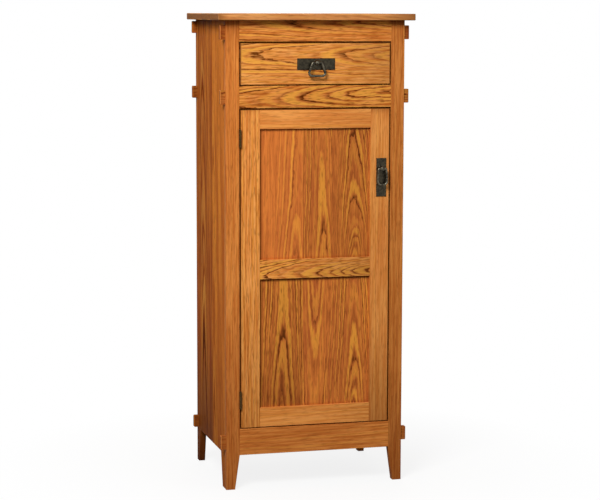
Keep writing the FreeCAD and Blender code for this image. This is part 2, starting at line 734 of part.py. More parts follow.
# name, height in the door, what the tenon leaves at its lower and at its upper edge
DOOR_RAILS = (
    ("bottom", "0", "door_tenon_shoulder", "door_groove_depth"),
    ("middle", MIDDLE_RAIL_LIFT, "door_groove_depth", "door_groove_depth"),
    ("top", TOP_RAIL_LIFT, "door_groove_depth", "door_tenon_shoulder"),
)


def door_stile(label, x, groove_x, mortise_x):
    """A door upright with a groove for the panels and a mortise for each rail."""
    body = board(label, (x, "front", "door_bottom"), ("door_stile_width", "door_thickness", "door_height"), 2)
    block(
        body, "Subtractive", "groove", (groove_x, GROOVE_Y, "0"),
        ("door_groove_depth", "door_groove_width", "door_height"))
    for name, lift, below, above in DOOR_RAILS:
        block(
            body, "Subtractive", f"{name}_mortise", (mortise_x, GROOVE_Y, f"{lift} + {below} - snug_gap"),
            ("door_tenon_length + snug_gap", "door_groove_width",
             f"door_rail_width - {below} - {above} + 2 * snug_gap"))
    return body


def door_rail(label, rail):
    """A door rail with haunched tenons, and grooves on the edges that meet a panel."""
    name, lift, below, above = rail
    body = board(
        label, ("door_left + door_stile_width", "front", f"door_bottom + {lift}"),
        ("door_rail_length", "door_thickness", "door_rail_width"), 0)
    for kind, reach, low, high in (
            ("tenons", "door_tenon_length", below, above),
            ("haunches", "(door_groove_depth - snug_gap)",
             "0" if name == "bottom" else below, "0" if name == "top" else above)):
        block(
            body, "Additive", kind, (f"-{reach}", PANEL_Y, low),
            (f"door_rail_length + 2 * {reach}", "door_panel_thickness", f"door_rail_width - {low} - {high}"))
    for edge, z in (("lower", "0"), ("upper", "door_rail_width - door_groove_depth")):
        if (name, edge) in (("bottom", "lower"), ("top", "upper")):
            continue
        block(
            body, "Subtractive", f"{edge}_groove", ("0", GROOVE_Y, z),
            ("door_rail_length", "door_groove_width", "door_groove_depth"))
    return body


bottom_rail, middle_rail, top_rail = DOOR_RAILS
keep(door_rail("door_rail_bottom", bottom_rail), door_rail("door_rail_middle", middle_rail))
catch_rail = door_rail("door_rail_top_blank", top_rail)
hinge_stile = door_stile(
    "door_stile_left_blank", "door_left", "door_stile_width - door_groove_depth",
    "door_stile_width - door_tenon_length - snug_gap")
pull_stile = door_stile("door_stile_right_blank", "door_right - door_stile_width", "0", "0")

PANEL_LAP = "(door_groove_depth - panel_play)"
for name, lift in (("lower", "door_rail_width"), ("upper", f"{MIDDLE_RAIL_LIFT} + door_rail_width")):
    keep(solid_box(
        f"door_panel_{name}",
        (f"door_left + door_stile_width - {PANEL_LAP}", f"front + {PANEL_Y}",
         f"door_bottom + {lift} - {PANEL_LAP}"),
        (f"door_rail_length + 2 * {PANEL_LAP}", "door_panel_thickness",
         f"door_opening_height + 2 * {PANEL_LAP}")))

# Hinges

HINGES = (("upper", "upper_hinge"), ("lower", "lower_hinge"))
LEAF_OUTER = "(leaf_thickness + leaf_gap / 2)"


def hinge_leaf(label, bottom, leaf_x, knuckles):
    """One leaf with its share of the knuckles, bored for the pin; its frame is on the axis."""
    body = new_body(label, ("hinge_x", "hinge_y", bottom))
    block(
        body, "Additive", "plate", (leaf_x, "hinge_stand", "0"),
        ("leaf_thickness", "leaf_width", "hinge_length"))
    for index in knuckles:
        low = f"hinge_length * {index} / {KNUCKLES} + knuckle_gap / 2"
        length = f"hinge_length / {KNUCKLES} - knuckle_gap"
        block(
            body, "Additive", f"tab_{index}", (leaf_x, "0", low), ("leaf_thickness", "hinge_stand", length))
        rod(body, "Additive", f"knuckle_{index}", ("0", "0", low), "z", "knuckle_diameter / 2", length)
    rod(
        body, "Subtractive", "bore", ORIGIN, "z", "hinge_pin_diameter / 2 + running_gap", "hinge_length")
    return body


screws = {"frame": [], "door": []}
seats = {"frame": [], "door": []}
for name, bottom in HINGES:
    for part, direction, head_x, leaf_x, knuckles in (
            ("frame", "-x", "hinge_x - leaf_gap / 2", f"-{LEAF_OUTER}", range(0, KNUCKLES, 2)),
            ("door", "x", "hinge_x + leaf_gap / 2", "leaf_gap / 2", range(1, KNUCKLES, 2))):
        own = [
            flat_head_screw(
                f"hinge_screw_{part}_{name}_{spot}", (head_x, "front + leaf_width / 2", f"{bottom} + {lift}"),
                direction, "leaf_thickness")
            for spot, lift in (("low", "hinge_screw_inset"), ("high", "hinge_length - hinge_screw_inset"))]
        leaf = hinge_leaf(f"hinge_{name}_{part}_leaf_blank", bottom, leaf_x, knuckles)
        keep(cut(f"hinge_{name}_{part}_leaf", leaf, own))
        screws[part] += own
        seats[part].append(solid_box(
            f"hinge_seat_{part}_{name}", (f"hinge_x + ({leaf_x})", "front", bottom),
            ("leaf_thickness", "leaf_width", "hinge_length")))
    keep(solid_rod(
        f"hinge_{name}_pin", ("hinge_x", "hinge_y", bottom), "z", "hinge_pin_diameter / 2", "hinge_length"))
keep(group("hinge_screws_frame", screws["frame"]), group("hinge_screws_door", screws["door"]))
keep(cut("face_stile_left", stile, seats["frame"] + screws["frame"]))
keep(cut("door_stile_left", hinge_stile, seats["door"] + screws["door"]))

# Magnetic catch behind the middle rail

strike_at = ("catch_x", "front + door_thickness", "catch_height")
strike = fused("catch_strike", [
    solid_rod("catch_strike_disc", strike_at, "y", "strike_diameter / 2", "strike_thickness"),
    solid_rod("catch_strike_shank", strike_at, "-y", "strike_shank_diameter / 2", "strike_shank_length")])
magnet = solid_rod(
    "catch_magnet", ("catch_x", "magnet_front", "catch_height"), "y", "magnet_diameter / 2",
    "frame_back + magnet_socket - magnet_front")
CATCH_BOTTOM = "(catch_height - catch_block_margin)"
catch_block = new_body(
    "catch_block_blank", ("catch_x - catch_block_width / 2", "frame_back", CATCH_BOTTOM))
catch_blank = block(
    catch_block, "Additive", "blank", ORIGIN,
    ("catch_block_width", "catch_block_depth", f"middle_rail_bottom + catch_block_lap - {CATCH_BOTTOM}"))
finish_edges(catch_block, catch_blank, lies_at(2, 0), "Chamfer", Size="catch_block_chamfer")
keep(strike, magnet, cut("catch_block", catch_block, [magnet]))
keep(cut("door_rail_top", catch_rail, [strike]))

# Ring pulls

# bends of a ring in their order along its bar: row, side
BENDS = (("top", 1), ("bottom", 1), ("bottom", -1), ("top", -1))
QUARTER = math.pi / 2


def pull_ring(label, name, at):
    """A drop ring bent from round bar, swept along its path; its two ends meet inside the post."""
    body = new_body(label, at, "-y")
    path = new_sketch(body, "path", "XY_Plane")
    bend_x = {row: f"({name}_ring_{row} / 2 - ring_{row}_bend)" for row in ("top", "bottom")}
    bend_y = {"top": "-ring_top_bend", "bottom": f"ring_bottom_bend - {name}_ring_drop"}
    arcs = []
    for turn, (row, side) in enumerate(BENDS):
        middle = Vector(side * measure(bend_x[row]), measure(bend_y[row]), 0)
        circle = Part.Circle(middle, Vector(0, 0, 1), measure(f"ring_{row}_bend"))
        arcs.append(Part.ArcOfCircle(circle, -turn * QUARTER, (1 - turn) * QUARTER))
    tip = Vector(measure("ring_end_gap / 2"), 0, 0)
    starts = [tip] + [arc.StartPoint for arc in arcs]
    ends = [arc.EndPoint for arc in arcs] + [-tip]
    runs = [path.addGeometry(Part.LineSegment(start, end)) for start, end in zip(starts, ends)]
    bends = [path.addGeometry(arc) for arc in arcs]

    # the path goes clockwise and an arc anticlockwise, so the path comes to an arc's end first
    for before, bend, after in zip(runs, bends, runs[1:]):
        constrain(path, "Tangent", before, END, bend, END)
        constrain(path, "Tangent", bend, START, after, START)
    first, _, bottom, _, last = runs
    for flat in (first, bottom, last):
        constrain(path, "Horizontal", flat)
    for run, point, x in ((first, START, "ring_end_gap / 2"), (last, END, "-ring_end_gap / 2")):
        constrain(path, "PointOnObject", run, point, SKETCH_X_AXIS)
        dimension(path, "DistanceX", (*SKETCH_ORIGIN, run, point), x)
    dimension(path, "DistanceY", (bottom, START, *SKETCH_ORIGIN), f"{name}_ring_drop")
    for (row, side), bend in zip(BENDS, bends):
        dimension(path, "Radius", (bend,), f"ring_{row}_bend")
        dimension(path, "DistanceX", (*SKETCH_ORIGIN, bend, CENTRE), f"{side} * {bend_x[row]}")

    section = new_sketch(body, "section", "YZ_Plane")
    bind(section, **{"AttachmentOffset.Base.z": "ring_end_gap / 2"})
    circle = section.addGeometry(Part.Circle(Vector(), Vector(0, 0, 1), measure("ring_wire / 2")))
    constrain(section, "Coincident", circle, CENTRE, *SKETCH_ORIGIN)
    dimension(section, "Diameter", (circle,), "ring_wire")
    bar = body.newObject("PartDesign::AdditivePipe", f"{label}_bar")
    bar.Profile = section
    bar.Spine = (path, [])
    return body


def pull(name, x, z, wood, width, height):
    """Plate, post, ring and bolt of one pull; returns the bolt, which the wood has room for."""
    pivot_z = f"({z}) + {name}_pivot_rise"
    plate_face = "front - plate_thickness"
    bolt = round_head_screw(
        f"{name}_pull_bolt", (x, f"front + {wood}", pivot_z), "-y",
        ("bolt_diameter", f"{wood} + plate_thickness + bolt_bite"), ("bolt_head", "bolt_head_height"))

    plate = new_body(f"{name}_pull_plate_blank", (x, "front", z), "-y")
    sheet_metal = block(
        plate, "Additive", "sheet", (f"-{width} / 2", f"-{height} / 2", "0"),
        (width, height, "plate_thickness"))
    finish_edges(plate, sheet_metal, lies_at(2, measure("plate_thickness")), "Chamfer", Size="plate_chamfer")

    post = new_body(f"{name}_pull_post_blank", (x, plate_face, pivot_z), "-y")
    collar = rod(post, "Additive", "collar", ORIGIN, "z", "collar_diameter / 2", "collar_height")
    finish_edges(post, collar, lies_at(2, measure("collar_height")), "Chamfer", Size="collar_chamfer")
    rod(post, "Additive", "stem", ORIGIN, "z", "post_diameter / 2", "ring_reach")
    dome = post.newObject("PartDesign::AdditiveSphere", f"{post.Name}_dome")
    bind(dome, Radius="post_diameter / 2")
    place(dome, ("0", "0", "ring_reach"))
    rod(
        post, "Subtractive", "bore", ("-post_diameter / 2", "0", "ring_reach"), "x",
        "ring_wire / 2 + running_gap", "post_diameter")

    ring = pull_ring(f"{name}_pull_ring", name, (x, f"{plate_face} - ring_reach", pivot_z))
    keep(bolt, ring, cut(f"{name}_pull_plate", plate, [bolt]), cut(f"{name}_pull_post", post, [bolt]))
    return bolt


drawer_bolt = pull(
    "drawer", "0", "drawer_floor + drawer_front_height / 2 - drawer_pull_drop", "drawer_front_thickness",
    "plate_length", "drawer_plate_width")
door_bolt = pull(
    "door", "door_right - door_pull_inset", "door_top - door_pull_fall", "door_thickness",
    "door_plate_width", "plate_length")
keep(cut("drawer_front", drawer_face, [drawer_side, drawer_side_opposite, front_groove, drawer_bolt]))
keep(cut("door_stile_right", pull_stile, [door_bolt]))

# Check every piece, then write it

doc.recompute()
failed = [item.Label for item in doc.Objects if "Invalid" in item.State or "Error" in item.State]
if failed:
    raise RuntimeError("these did not build: " + ", ".join(failed))
for node in nodes:
    if node.Shape.isNull() or not node.Shape.isValid() or not node.Shape.Solids:
        raise RuntimeError("not a valid solid: " + node.Label)

os.makedirs("parts", exist_ok=True)
for node in nodes:
    node.Shape.exportStep(f"parts/{node.Label}.step")
print(len(nodes), "pieces written")
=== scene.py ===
import json
import math
from collections import namedtuple

import bmesh
import bpy
from mathutils import Matrix, Vector


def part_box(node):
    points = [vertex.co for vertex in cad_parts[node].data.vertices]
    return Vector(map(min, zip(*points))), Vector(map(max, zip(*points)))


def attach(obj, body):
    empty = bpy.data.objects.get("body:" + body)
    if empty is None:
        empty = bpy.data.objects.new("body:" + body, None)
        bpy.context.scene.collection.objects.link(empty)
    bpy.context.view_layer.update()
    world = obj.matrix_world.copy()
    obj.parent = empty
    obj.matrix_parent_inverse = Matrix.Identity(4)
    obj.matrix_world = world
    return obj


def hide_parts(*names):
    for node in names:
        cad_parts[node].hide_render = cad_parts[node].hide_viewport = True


# A jelly cupboard of stained oak with dark bronze ring pulls, dressed over its frame.
# Metres, +Z up, the front faces -Y. Sizes in millimetres are multiplied by MM.

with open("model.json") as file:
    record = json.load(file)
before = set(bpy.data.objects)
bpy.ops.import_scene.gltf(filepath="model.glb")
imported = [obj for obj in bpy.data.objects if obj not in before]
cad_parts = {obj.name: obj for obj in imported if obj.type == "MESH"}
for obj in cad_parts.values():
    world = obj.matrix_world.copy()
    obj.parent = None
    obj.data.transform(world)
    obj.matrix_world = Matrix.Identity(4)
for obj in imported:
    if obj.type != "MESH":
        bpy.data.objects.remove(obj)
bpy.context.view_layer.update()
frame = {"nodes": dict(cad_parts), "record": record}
nodes = frame["nodes"]
MM = 0.001
RIGHT = Vector((1, 0, 0))
BACK = Vector((0, 1, 0))
UP = Vector((0, 0, 1))
AXES = {"x": RIGHT, "y": BACK, "z": UP}

# Points of a CAD mesh that lie closer than this are one point.
MERGE = 0.005 * MM

# A Mix node keeps its sockets for colours behind those for numbers and vectors.
COLOUR_A = 6
COLOUR_B = 7
MIXED = 2


# Helpers

def linear(colour):
    """An sRGB hex colour as the linear numbers that a shader takes."""
    values = [int(colour[place:place + 2], 16) / 255 for place in (1, 3, 5)]
    return [v / 12.92 if v <= 0.04045 else ((v + 0.055) / 1.055) ** 2.4 for v in values] + [1.0]


def add(tree, kind, inputs=None, **settings):
    """Add a node. An input is a value, a socket, a node (its first output) or a list of nodes."""
    item = tree.nodes.new(kind)
    for name, value in settings.items():
        setattr(item, name, value)
    for name, value in (inputs or {}).items():
        many = isinstance(value, list) and isinstance(value[0], bpy.types.Node)
        for source in value if many else [value]:
            if isinstance(source, bpy.types.Node):
                source = source.outputs[0]
            if isinstance(source, bpy.types.NodeSocket):
                tree.links.new(source, item.inputs[name])
            else:
                item.inputs[name].default_value = source
    return item


def new_material(name):
    """A material and its node tree, still empty."""
    material = bpy.data.materials.new(name)
    material.use_nodes = True
    material.node_tree.nodes.clear()
    return material, material.node_tree


def set_stops(ramp, stops):
    """Give a colour ramp its stops: (place, grey level)."""
    while len(ramp.elements) < len(stops):
        ramp.elements.new(1.0)
    for element, (place, value) in zip(ramp.elements, stops):
        element.position = place
        element.color = (value, value, value, 1.0)


def paint(piece, material):
    """Give a piece one material all over."""
    if not piece.material_slots:
        piece.data.materials.append(material)
    for slot in piece.material_slots:
        slot.material = material


def direction(side):
    """The way that a side such as "x" or "-y" faces."""
    return AXES[side[-1]] * (-1 if side[0] == "-" else 1)


def merged(node):
    """A copy of a CAD node's mesh, with its loose triangles joined."""
    mesh = bmesh.new()
    mesh.from_mesh(nodes[node].data)
    bmesh.ops.remove_doubles(mesh, verts=mesh.verts, dist=MERGE)
    return mesh


# Oak
# Plain-sawn red oak, stained and varnished satin. The board is cut out of a trunk of growth rings,
# so the rings come out as arches on the flat face, lines on the edges and arcs on the ends. Each
# ring opens with a band of wide pores that take the stain dark, and fades into hard pale latewood.

# How a board was sawn, took the stain and has shade painted on, with lengths in mm.
# grain and face: the axis along its grain, and the way that its best face looks
# across and depth: the trunk's heart from the middle of that face, to its side and behind it
# lean and swing: how far the heart goes deeper and sideways for each length along the grain
# ring: ring width; figure: strength of the rings
# low_soak and high_soak: how far the two ends darken, with stain near the ends
# and painted shade where the reach is long; thirst: how dark they get
# tone: how light the board is beside the others; broad: how many times wider its streaks are
# rim: the sides along which painted shade darkens the board, each with how far it reaches in
Log = namedtuple(
    "Log", "grain face across depth lean swing ring figure low_soak high_soak thirst tone broad rim",
    defaults=(18, 18, 0.65, 1.0, 1.0, {}))

# Colours of the streaks (pale and body), the latewood, reddish patches, pores (also the painted shade
# along rims) and ends (also the painted shade of long reaches), then the varnish's roughness and
# specular level
Finish = namedtuple("Finish", "pale body gold warm dark end roughness sheen")

# Length along the grain and width across it, in mm, and octaves of the patterns that make up the
# wood. Pores are really 0.3 mm wide; they are drawn wider, to show from a few metres.
PATTERNS = {
    "wander": (300, 80, 1.0),
    "ragged": (28, 6, 3.0),
    "streak": (130, 5, 2.0),
    "pores": (26, 3.4, 1.0),
    "patch": (300, 60, 1.0),
}

# Each board takes its patterns from another stretch of the same endless trunk, this many mm on.
TRUNK_STEP = 1000

# How far the trunk bends and how ragged its rings are, in mm
WANDER = 8.0
RAGGED = 3.2

# Ring widths change over this many mm, by up to this many rings.
UNEVEN_RINGS = 24.0
UNEVEN_SHARE = 1.6

# Most years leave a weak ring, and a few a strong one.
LUCK_POWER = 2.5
WEAK_YEAR = 0.2
STRONG_YEAR = 2.0

# A ring shows less where it meets the face steeply: how flat it lies, from steep to flat.
FLATNESS = (0.6, 0.96)
STEEP_SHOWS = 0.3

# Over one ring, how much stain its open pores hold and how golden the wood after them is
EARLY_WOOD = [(0.0, 0.0), (0.05, 1.0), (0.16, 0.7), (0.3, 0.12), (1.0, 0.0)]
LATE_WOOD = [(0.3, 0.0), (0.55, 1.0), (0.85, 0.7), (1.0, 0.0)]

# Levels of a pattern's noise between which it goes from none to full, and how strong it gets
RING_PORES = (0.36, 0.6)
RING_PORES_LEAST = 0.45
STREAKS = (0.4, 0.6)
PATCHES = (0.4, 0.7)
PATCH_TINT = 0.45
DASHES = (0.5, 0.72)
DASH_STAIN = 0.45

# Streaks and dashes are livelier on a board with strong rings.
LIVELY_PLAIN = 0.4
LIVELY_FIGURED = 0.5

# Painted shade along the edges beside a gap and in the corners where a panel enters its groove, where
# the frame's shadow falls. How far it reaches in, in mm, what share of that is fully dark, and how dark
# that is
ARRIS = 2.4
CORNER = 20
RIM_FULL = 0.42
RIM_SHADE = 0.9

# How squarely a face looks along the grain: end grain drinks stain, and bevels on ends get a painted
# highlight.
END_GRAIN = (0.55, 0.9)
BEVEL_HIGHLIGHT = 0.55
BEVEL_HIGHLIGHT_STOPS = [(0.4, 0.0), (0.6, BEVEL_HIGHLIGHT), (0.82, BEVEL_HIGHLIGHT), (0.95, 0.0)]

# Pores are sunk into the varnish and duller than it.
PORE_RELIEF = 0.12 * MM
PORE_RELIEF_STRENGTH = 0.6
PORE_DULLNESS = 0.2


def log_place(low, high, log):
    """Rotation, and location in mm, from the object's place to the trunk's: along, across, deep."""
    grain = AXES[log.grain]
    outward = direction(log.face)
    across = AXES[(set(AXES) - {log.grain, log.face[-1]}).pop()]
    middle = (low + high) / 2
    face = middle + outward * abs((high - low).dot(outward)) / 2
    heart = face + (across * log.across - outward * log.depth) * MM
    along = (grain - outward * log.lean + across * log.swing).normalized()
    aside = (across - along * across.dot(along)).normalized()
    turn = Matrix((along, aside, along.cross(aside)))
    return turn.to_euler("XYZ"), -(turn @ heart) / MM


def wood_noise(tree, place, log):
    """The noise of each pattern, stretched along the grain."""
    noise = {}
    for label, (length, width, octaves) in PATTERNS.items():
        if label == "streak":
            length *= math.sqrt(log.broad)
            width *= log.broad
        stretched = add(
            tree, "ShaderNodeVectorMath", {0: place, 1: (1 / length, 1 / width, 1 / width)},
            operation="MULTIPLY")
        noise[label] = add(
            tree, "ShaderNodeTexNoise", {"Vector": stretched, "Scale": 1.0, "Detail": octaves})
    return noise


def growth_rings(tree, place, noise, log):
    """How much stain the rings' open pores hold, and how golden their latewood is."""
    # distance from the heart, with the trunk's bends and a ragged edge
    bend = add(tree, "ShaderNodeVectorMath", {
        0: noise["wander"].outputs["Color"], 1: (0, 2 * WANDER, 2 * WANDER), 2: (0, -WANDER, -WANDER)},
        operation="MULTIPLY_ADD")
    bent = add(tree, "ShaderNodeVectorMath", {0: place, 1: bend}, operation="ADD")
    spoke = add(tree, "ShaderNodeVectorMath", {0: bent, 1: (0, 1, 1)}, operation="MULTIPLY")
    radius = add(tree, "ShaderNodeVectorMath", {0: spoke}, operation="LENGTH").outputs["Value"]
    deep = add(tree, "ShaderNodeSeparateXYZ", {0: spoke}).outputs["Z"]
    flat_cut = add(tree, "ShaderNodeMath", {0: deep, 1: radius}, operation="DIVIDE")
    flat_cut = add(tree, "ShaderNodeMath", {0: flat_cut}, operation="ABSOLUTE")
    flat_cut = add(tree, "ShaderNodeMapRange", {
        "Value": flat_cut, "From Min": FLATNESS[0], "From Max": FLATNESS[1],
        "To Min": STEEP_SHOWS, "To Max": 1.0})
    radius = add(
        tree, "ShaderNodeMath", {0: noise["ragged"], 1: RAGGED, 2: radius}, operation="MULTIPLY_ADD")

    # years of uneven width, each with its own luck
    slow = add(tree, "ShaderNodeMath", {0: radius, 1: UNEVEN_RINGS}, operation="DIVIDE")
    uneven = add(
        tree, "ShaderNodeTexNoise", {"W": slow, "Scale": 1.0, "Detail": 0.0}, noise_dimensions="1D")
    years = add(tree, "ShaderNodeMath", {0: radius, 1: log.ring}, operation="DIVIDE")
    years = add(
        tree, "ShaderNodeMath", {0: uneven, 1: UNEVEN_SHARE, 2: years}, operation="MULTIPLY_ADD")
    season = add(tree, "ShaderNodeMath", {0: years}, operation="FRACT")
    year = add(tree, "ShaderNodeMath", {0: years}, operation="FLOOR")
    luck = add(tree, "ShaderNodeTexWhiteNoise", {"W": year}, noise_dimensions="1D")
    strength = add(tree, "ShaderNodeMath", {0: luck, 1: LUCK_POWER}, operation="POWER")
    strength = add(tree, "ShaderNodeMapRange", {
        "Value": strength, "To Min": WEAK_YEAR * log.figure, "To Max": STRONG_YEAR * log.figure})
    strength = add(tree, "ShaderNodeMath", {0: strength, 1: flat_cut}, operation="MULTIPLY")

    # open pores first, hard latewood after them
    early = add(tree, "ShaderNodeValToRGB", {"Fac": season})
    set_stops(early.color_ramp, EARLY_WOOD)
    porous = add(tree, "ShaderNodeMapRange", {
        "Value": noise["pores"], "From Min": RING_PORES[0], "From Max": RING_PORES[1],
        "To Min": RING_PORES_LEAST, "To Max": 1.0})
    stain = add(
        tree, "ShaderNodeMath", {0: early.outputs["Color"], 1: strength}, operation="MULTIPLY")
    stain = add(tree, "ShaderNodeMath", {0: stain, 1: porous}, operation="MULTIPLY", use_clamp=True)
    late = add(tree, "ShaderNodeValToRGB", {"Fac": season})
    set_stops(late.color_ramp, LATE_WOOD)
    golden = add(
        tree, "ShaderNodeMath", {0: late.outputs["Color"], 1: strength},
        operation="MULTIPLY", use_clamp=True)
    return stain, golden


def painted_edge_shade(tree, here, low, high, log, dark):
    """Add painted shade along the board's rims, where gaps and grooves are shadowed, to what is dark
    already.
    """
    for side, width in log.rim.items():
        outward = direction(side)
        edge = max(low.dot(outward), high.dot(outward))
        reach = add(tree, "ShaderNodeVectorMath", {
            0: here["Object"], 1: outward}, operation="DOT_PRODUCT").outputs["Value"]
        # painted shade, darkest right at the edge
        edge_shade = add(tree, "ShaderNodeMapRange", {
            "Value": reach, "From Min": edge - width * MM, "From Max": edge - RIM_FULL * width * MM,
            "To Max": RIM_SHADE})
        dark = add(tree, "ShaderNodeMath", {0: dark, 1: edge_shade}, operation="MAXIMUM")
    return dark


def end_stain_and_shade(tree, here, low, high, log, facing):
    """How dark the end grain is, and the darkening that runs in from the ends: stain near them, painted
    shade where it reaches far.
    """
    thirst = add(tree, "ShaderNodeMapRange", {
        "Value": facing, "From Min": END_GRAIN[0], "From Max": END_GRAIN[1], "To Max": log.thirst})
    along = add(tree, "ShaderNodeVectorMath", {
        0: here["Object"], 1: AXES[log.grain]}, operation="DOT_PRODUCT").outputs["Value"]
    low_end = low.dot(AXES[log.grain])
    high_end = high.dot(AXES[log.grain])
    darkened_reaches = ((low_end, low_end + log.low_soak * MM), (high_end, high_end - log.high_soak * MM))
    for end, inside in darkened_reaches:
        # stain where the reach is short, painted shade where it is long
        stain_and_shade = add(tree, "ShaderNodeMapRange", {
            "Value": along, "From Min": end, "From Max": inside, "To Min": log.thirst, "To Max": 0.0})
        thirst = add(tree, "ShaderNodeMath", {0: thirst, 1: stain_and_shade}, operation="MAXIMUM")
    return thirst


def oak(name, low, high, log, finish, seed):
    """Stained oak for one board between two corners."""
    material, tree = new_material(name)
    shade = {
        label: [log.tone * part for part in linear(getattr(finish, label))[:3]] + [1.0]
        for label in ("pale", "body", "gold", "warm", "dark", "end")}
    here = add(tree, "ShaderNodeTexCoord").outputs
    rotation, location = log_place(low, high, log)
    location.x += TRUNK_STEP * seed
    place = add(tree, "ShaderNodeMapping", {
        "Vector": here["Object"], "Location": location, "Rotation": rotation,
        "Scale": (1 / MM, 1 / MM, 1 / MM)})
    noise = wood_noise(tree, place, log)
    stain, golden = growth_rings(tree, place, noise, log)

    lively = LIVELY_PLAIN + LIVELY_FIGURED * log.figure
    streak = add(tree, "ShaderNodeMapRange", {
        "Value": noise["streak"], "From Min": STREAKS[0], "From Max": STREAKS[1],
        "To Min": 0.5 - lively / 2, "To Max": 0.5 + lively / 2})
    patch = add(tree, "ShaderNodeMapRange", {
        "Value": noise["patch"], "From Min": PATCHES[0], "From Max": PATCHES[1], "To Max": PATCH_TINT})
    dashes = add(tree, "ShaderNodeMapRange", {
        "Value": noise["pores"], "From Min": DASHES[0], "From Max": DASHES[1],
        "To Max": DASH_STAIN * lively})
    dark = add(tree, "ShaderNodeMath", {0: stain, 1: dashes}, operation="MAXIMUM")
    dark = painted_edge_shade(tree, here, low, high, log, dark)
    facing = add(tree, "ShaderNodeVectorMath", {
        0: here["Normal"], 1: AXES[log.grain]}, operation="DOT_PRODUCT").outputs["Value"]
    facing = add(tree, "ShaderNodeMath", {0: facing}, operation="ABSOLUTE")
    thirst = end_stain_and_shade(tree, here, low, high, log, facing)
    bevel_highlight = add(tree, "ShaderNodeValToRGB", {"Fac": facing})
    set_stops(bevel_highlight.color_ramp, BEVEL_HIGHLIGHT_STOPS)

    # the colours, laid over each other one by one
    colour = shade["pale"]
    # dark carries the pores and the painted edge shade, the darkness from the ends carries the end
    # stain and painted shade, and the last layer is a painted highlight on bevels
    layers = (
        (streak, "body"), (patch, "warm"), (golden, "gold"), (dark, "dark"), (thirst, "end"),
        (bevel_highlight, "pale"))
    for share, label in layers:
        colour = add(tree, "ShaderNodeMix", {
            "Factor": share, COLOUR_A: colour, COLOUR_B: shade[label]},
            data_type="RGBA").outputs[MIXED]
    gloss = add(tree, "ShaderNodeMapRange", {
        "Value": stain, "To Min": finish.roughness, "To Max": finish.roughness + PORE_DULLNESS})
    relief = add(tree, "ShaderNodeBump", {
        "Height": stain, "Strength": PORE_RELIEF_STRENGTH, "Distance": PORE_RELIEF}, invert=True)
    surface = add(tree, "ShaderNodeBsdfPrincipled", {
        "Base Color": colour, "Roughness": gloss, "Normal": relief,
        "Specular IOR Level": finish.sheen})
    add(tree, "ShaderNodeOutputMaterial", {"Surface": surface})
    return material


# Golden brown on the door's frame and the drawer, redder on the face frame, browner on the top,
# red on the door's panels, deep orange on the sides and shelves, with the back edge of the left
# side darkest and its deep end colour also painting shade at its foot, and clear varnish without stain
# on the boards inside
FRONT = Finish("#F0A256", "#CE7832", "#EDA344", "#CA6C30", "#643008", "#733C18", 0.5, 0.02)
FRAME = Finish("#E69248", "#BE6628", "#E69C40", "#B86028", "#5C2806", "#74290B", 0.5, 0.01)
SLAB = Finish("#DC9A5C", "#B8723C", "#DCA050", "#B06A38", "#5E300E", "#6A3C18", 0.5, 0.01)
PANEL = Finish("#D67A36", "#B6602B", "#E6963A", "#A8502B", "#663210", "#663012", 0.5, 0.02)
SIDE = Finish("#F09036", "#C26420", "#EE983A", "#B04E1C", "#5A2404", "#6E280A", 0.6, 0.01)
DARK_SIDE = Finish("#D67A2C", "#A04816", "#DC8E3C", "#8C3412", "#4E2006", "#3C160A", 0.6, 0.01)
INSIDE = Finish("#D9AD70", "#CDA060", "#D8AE70", "#C2905A", "#A87C48", "#B58C58", 0.55, 0.03)
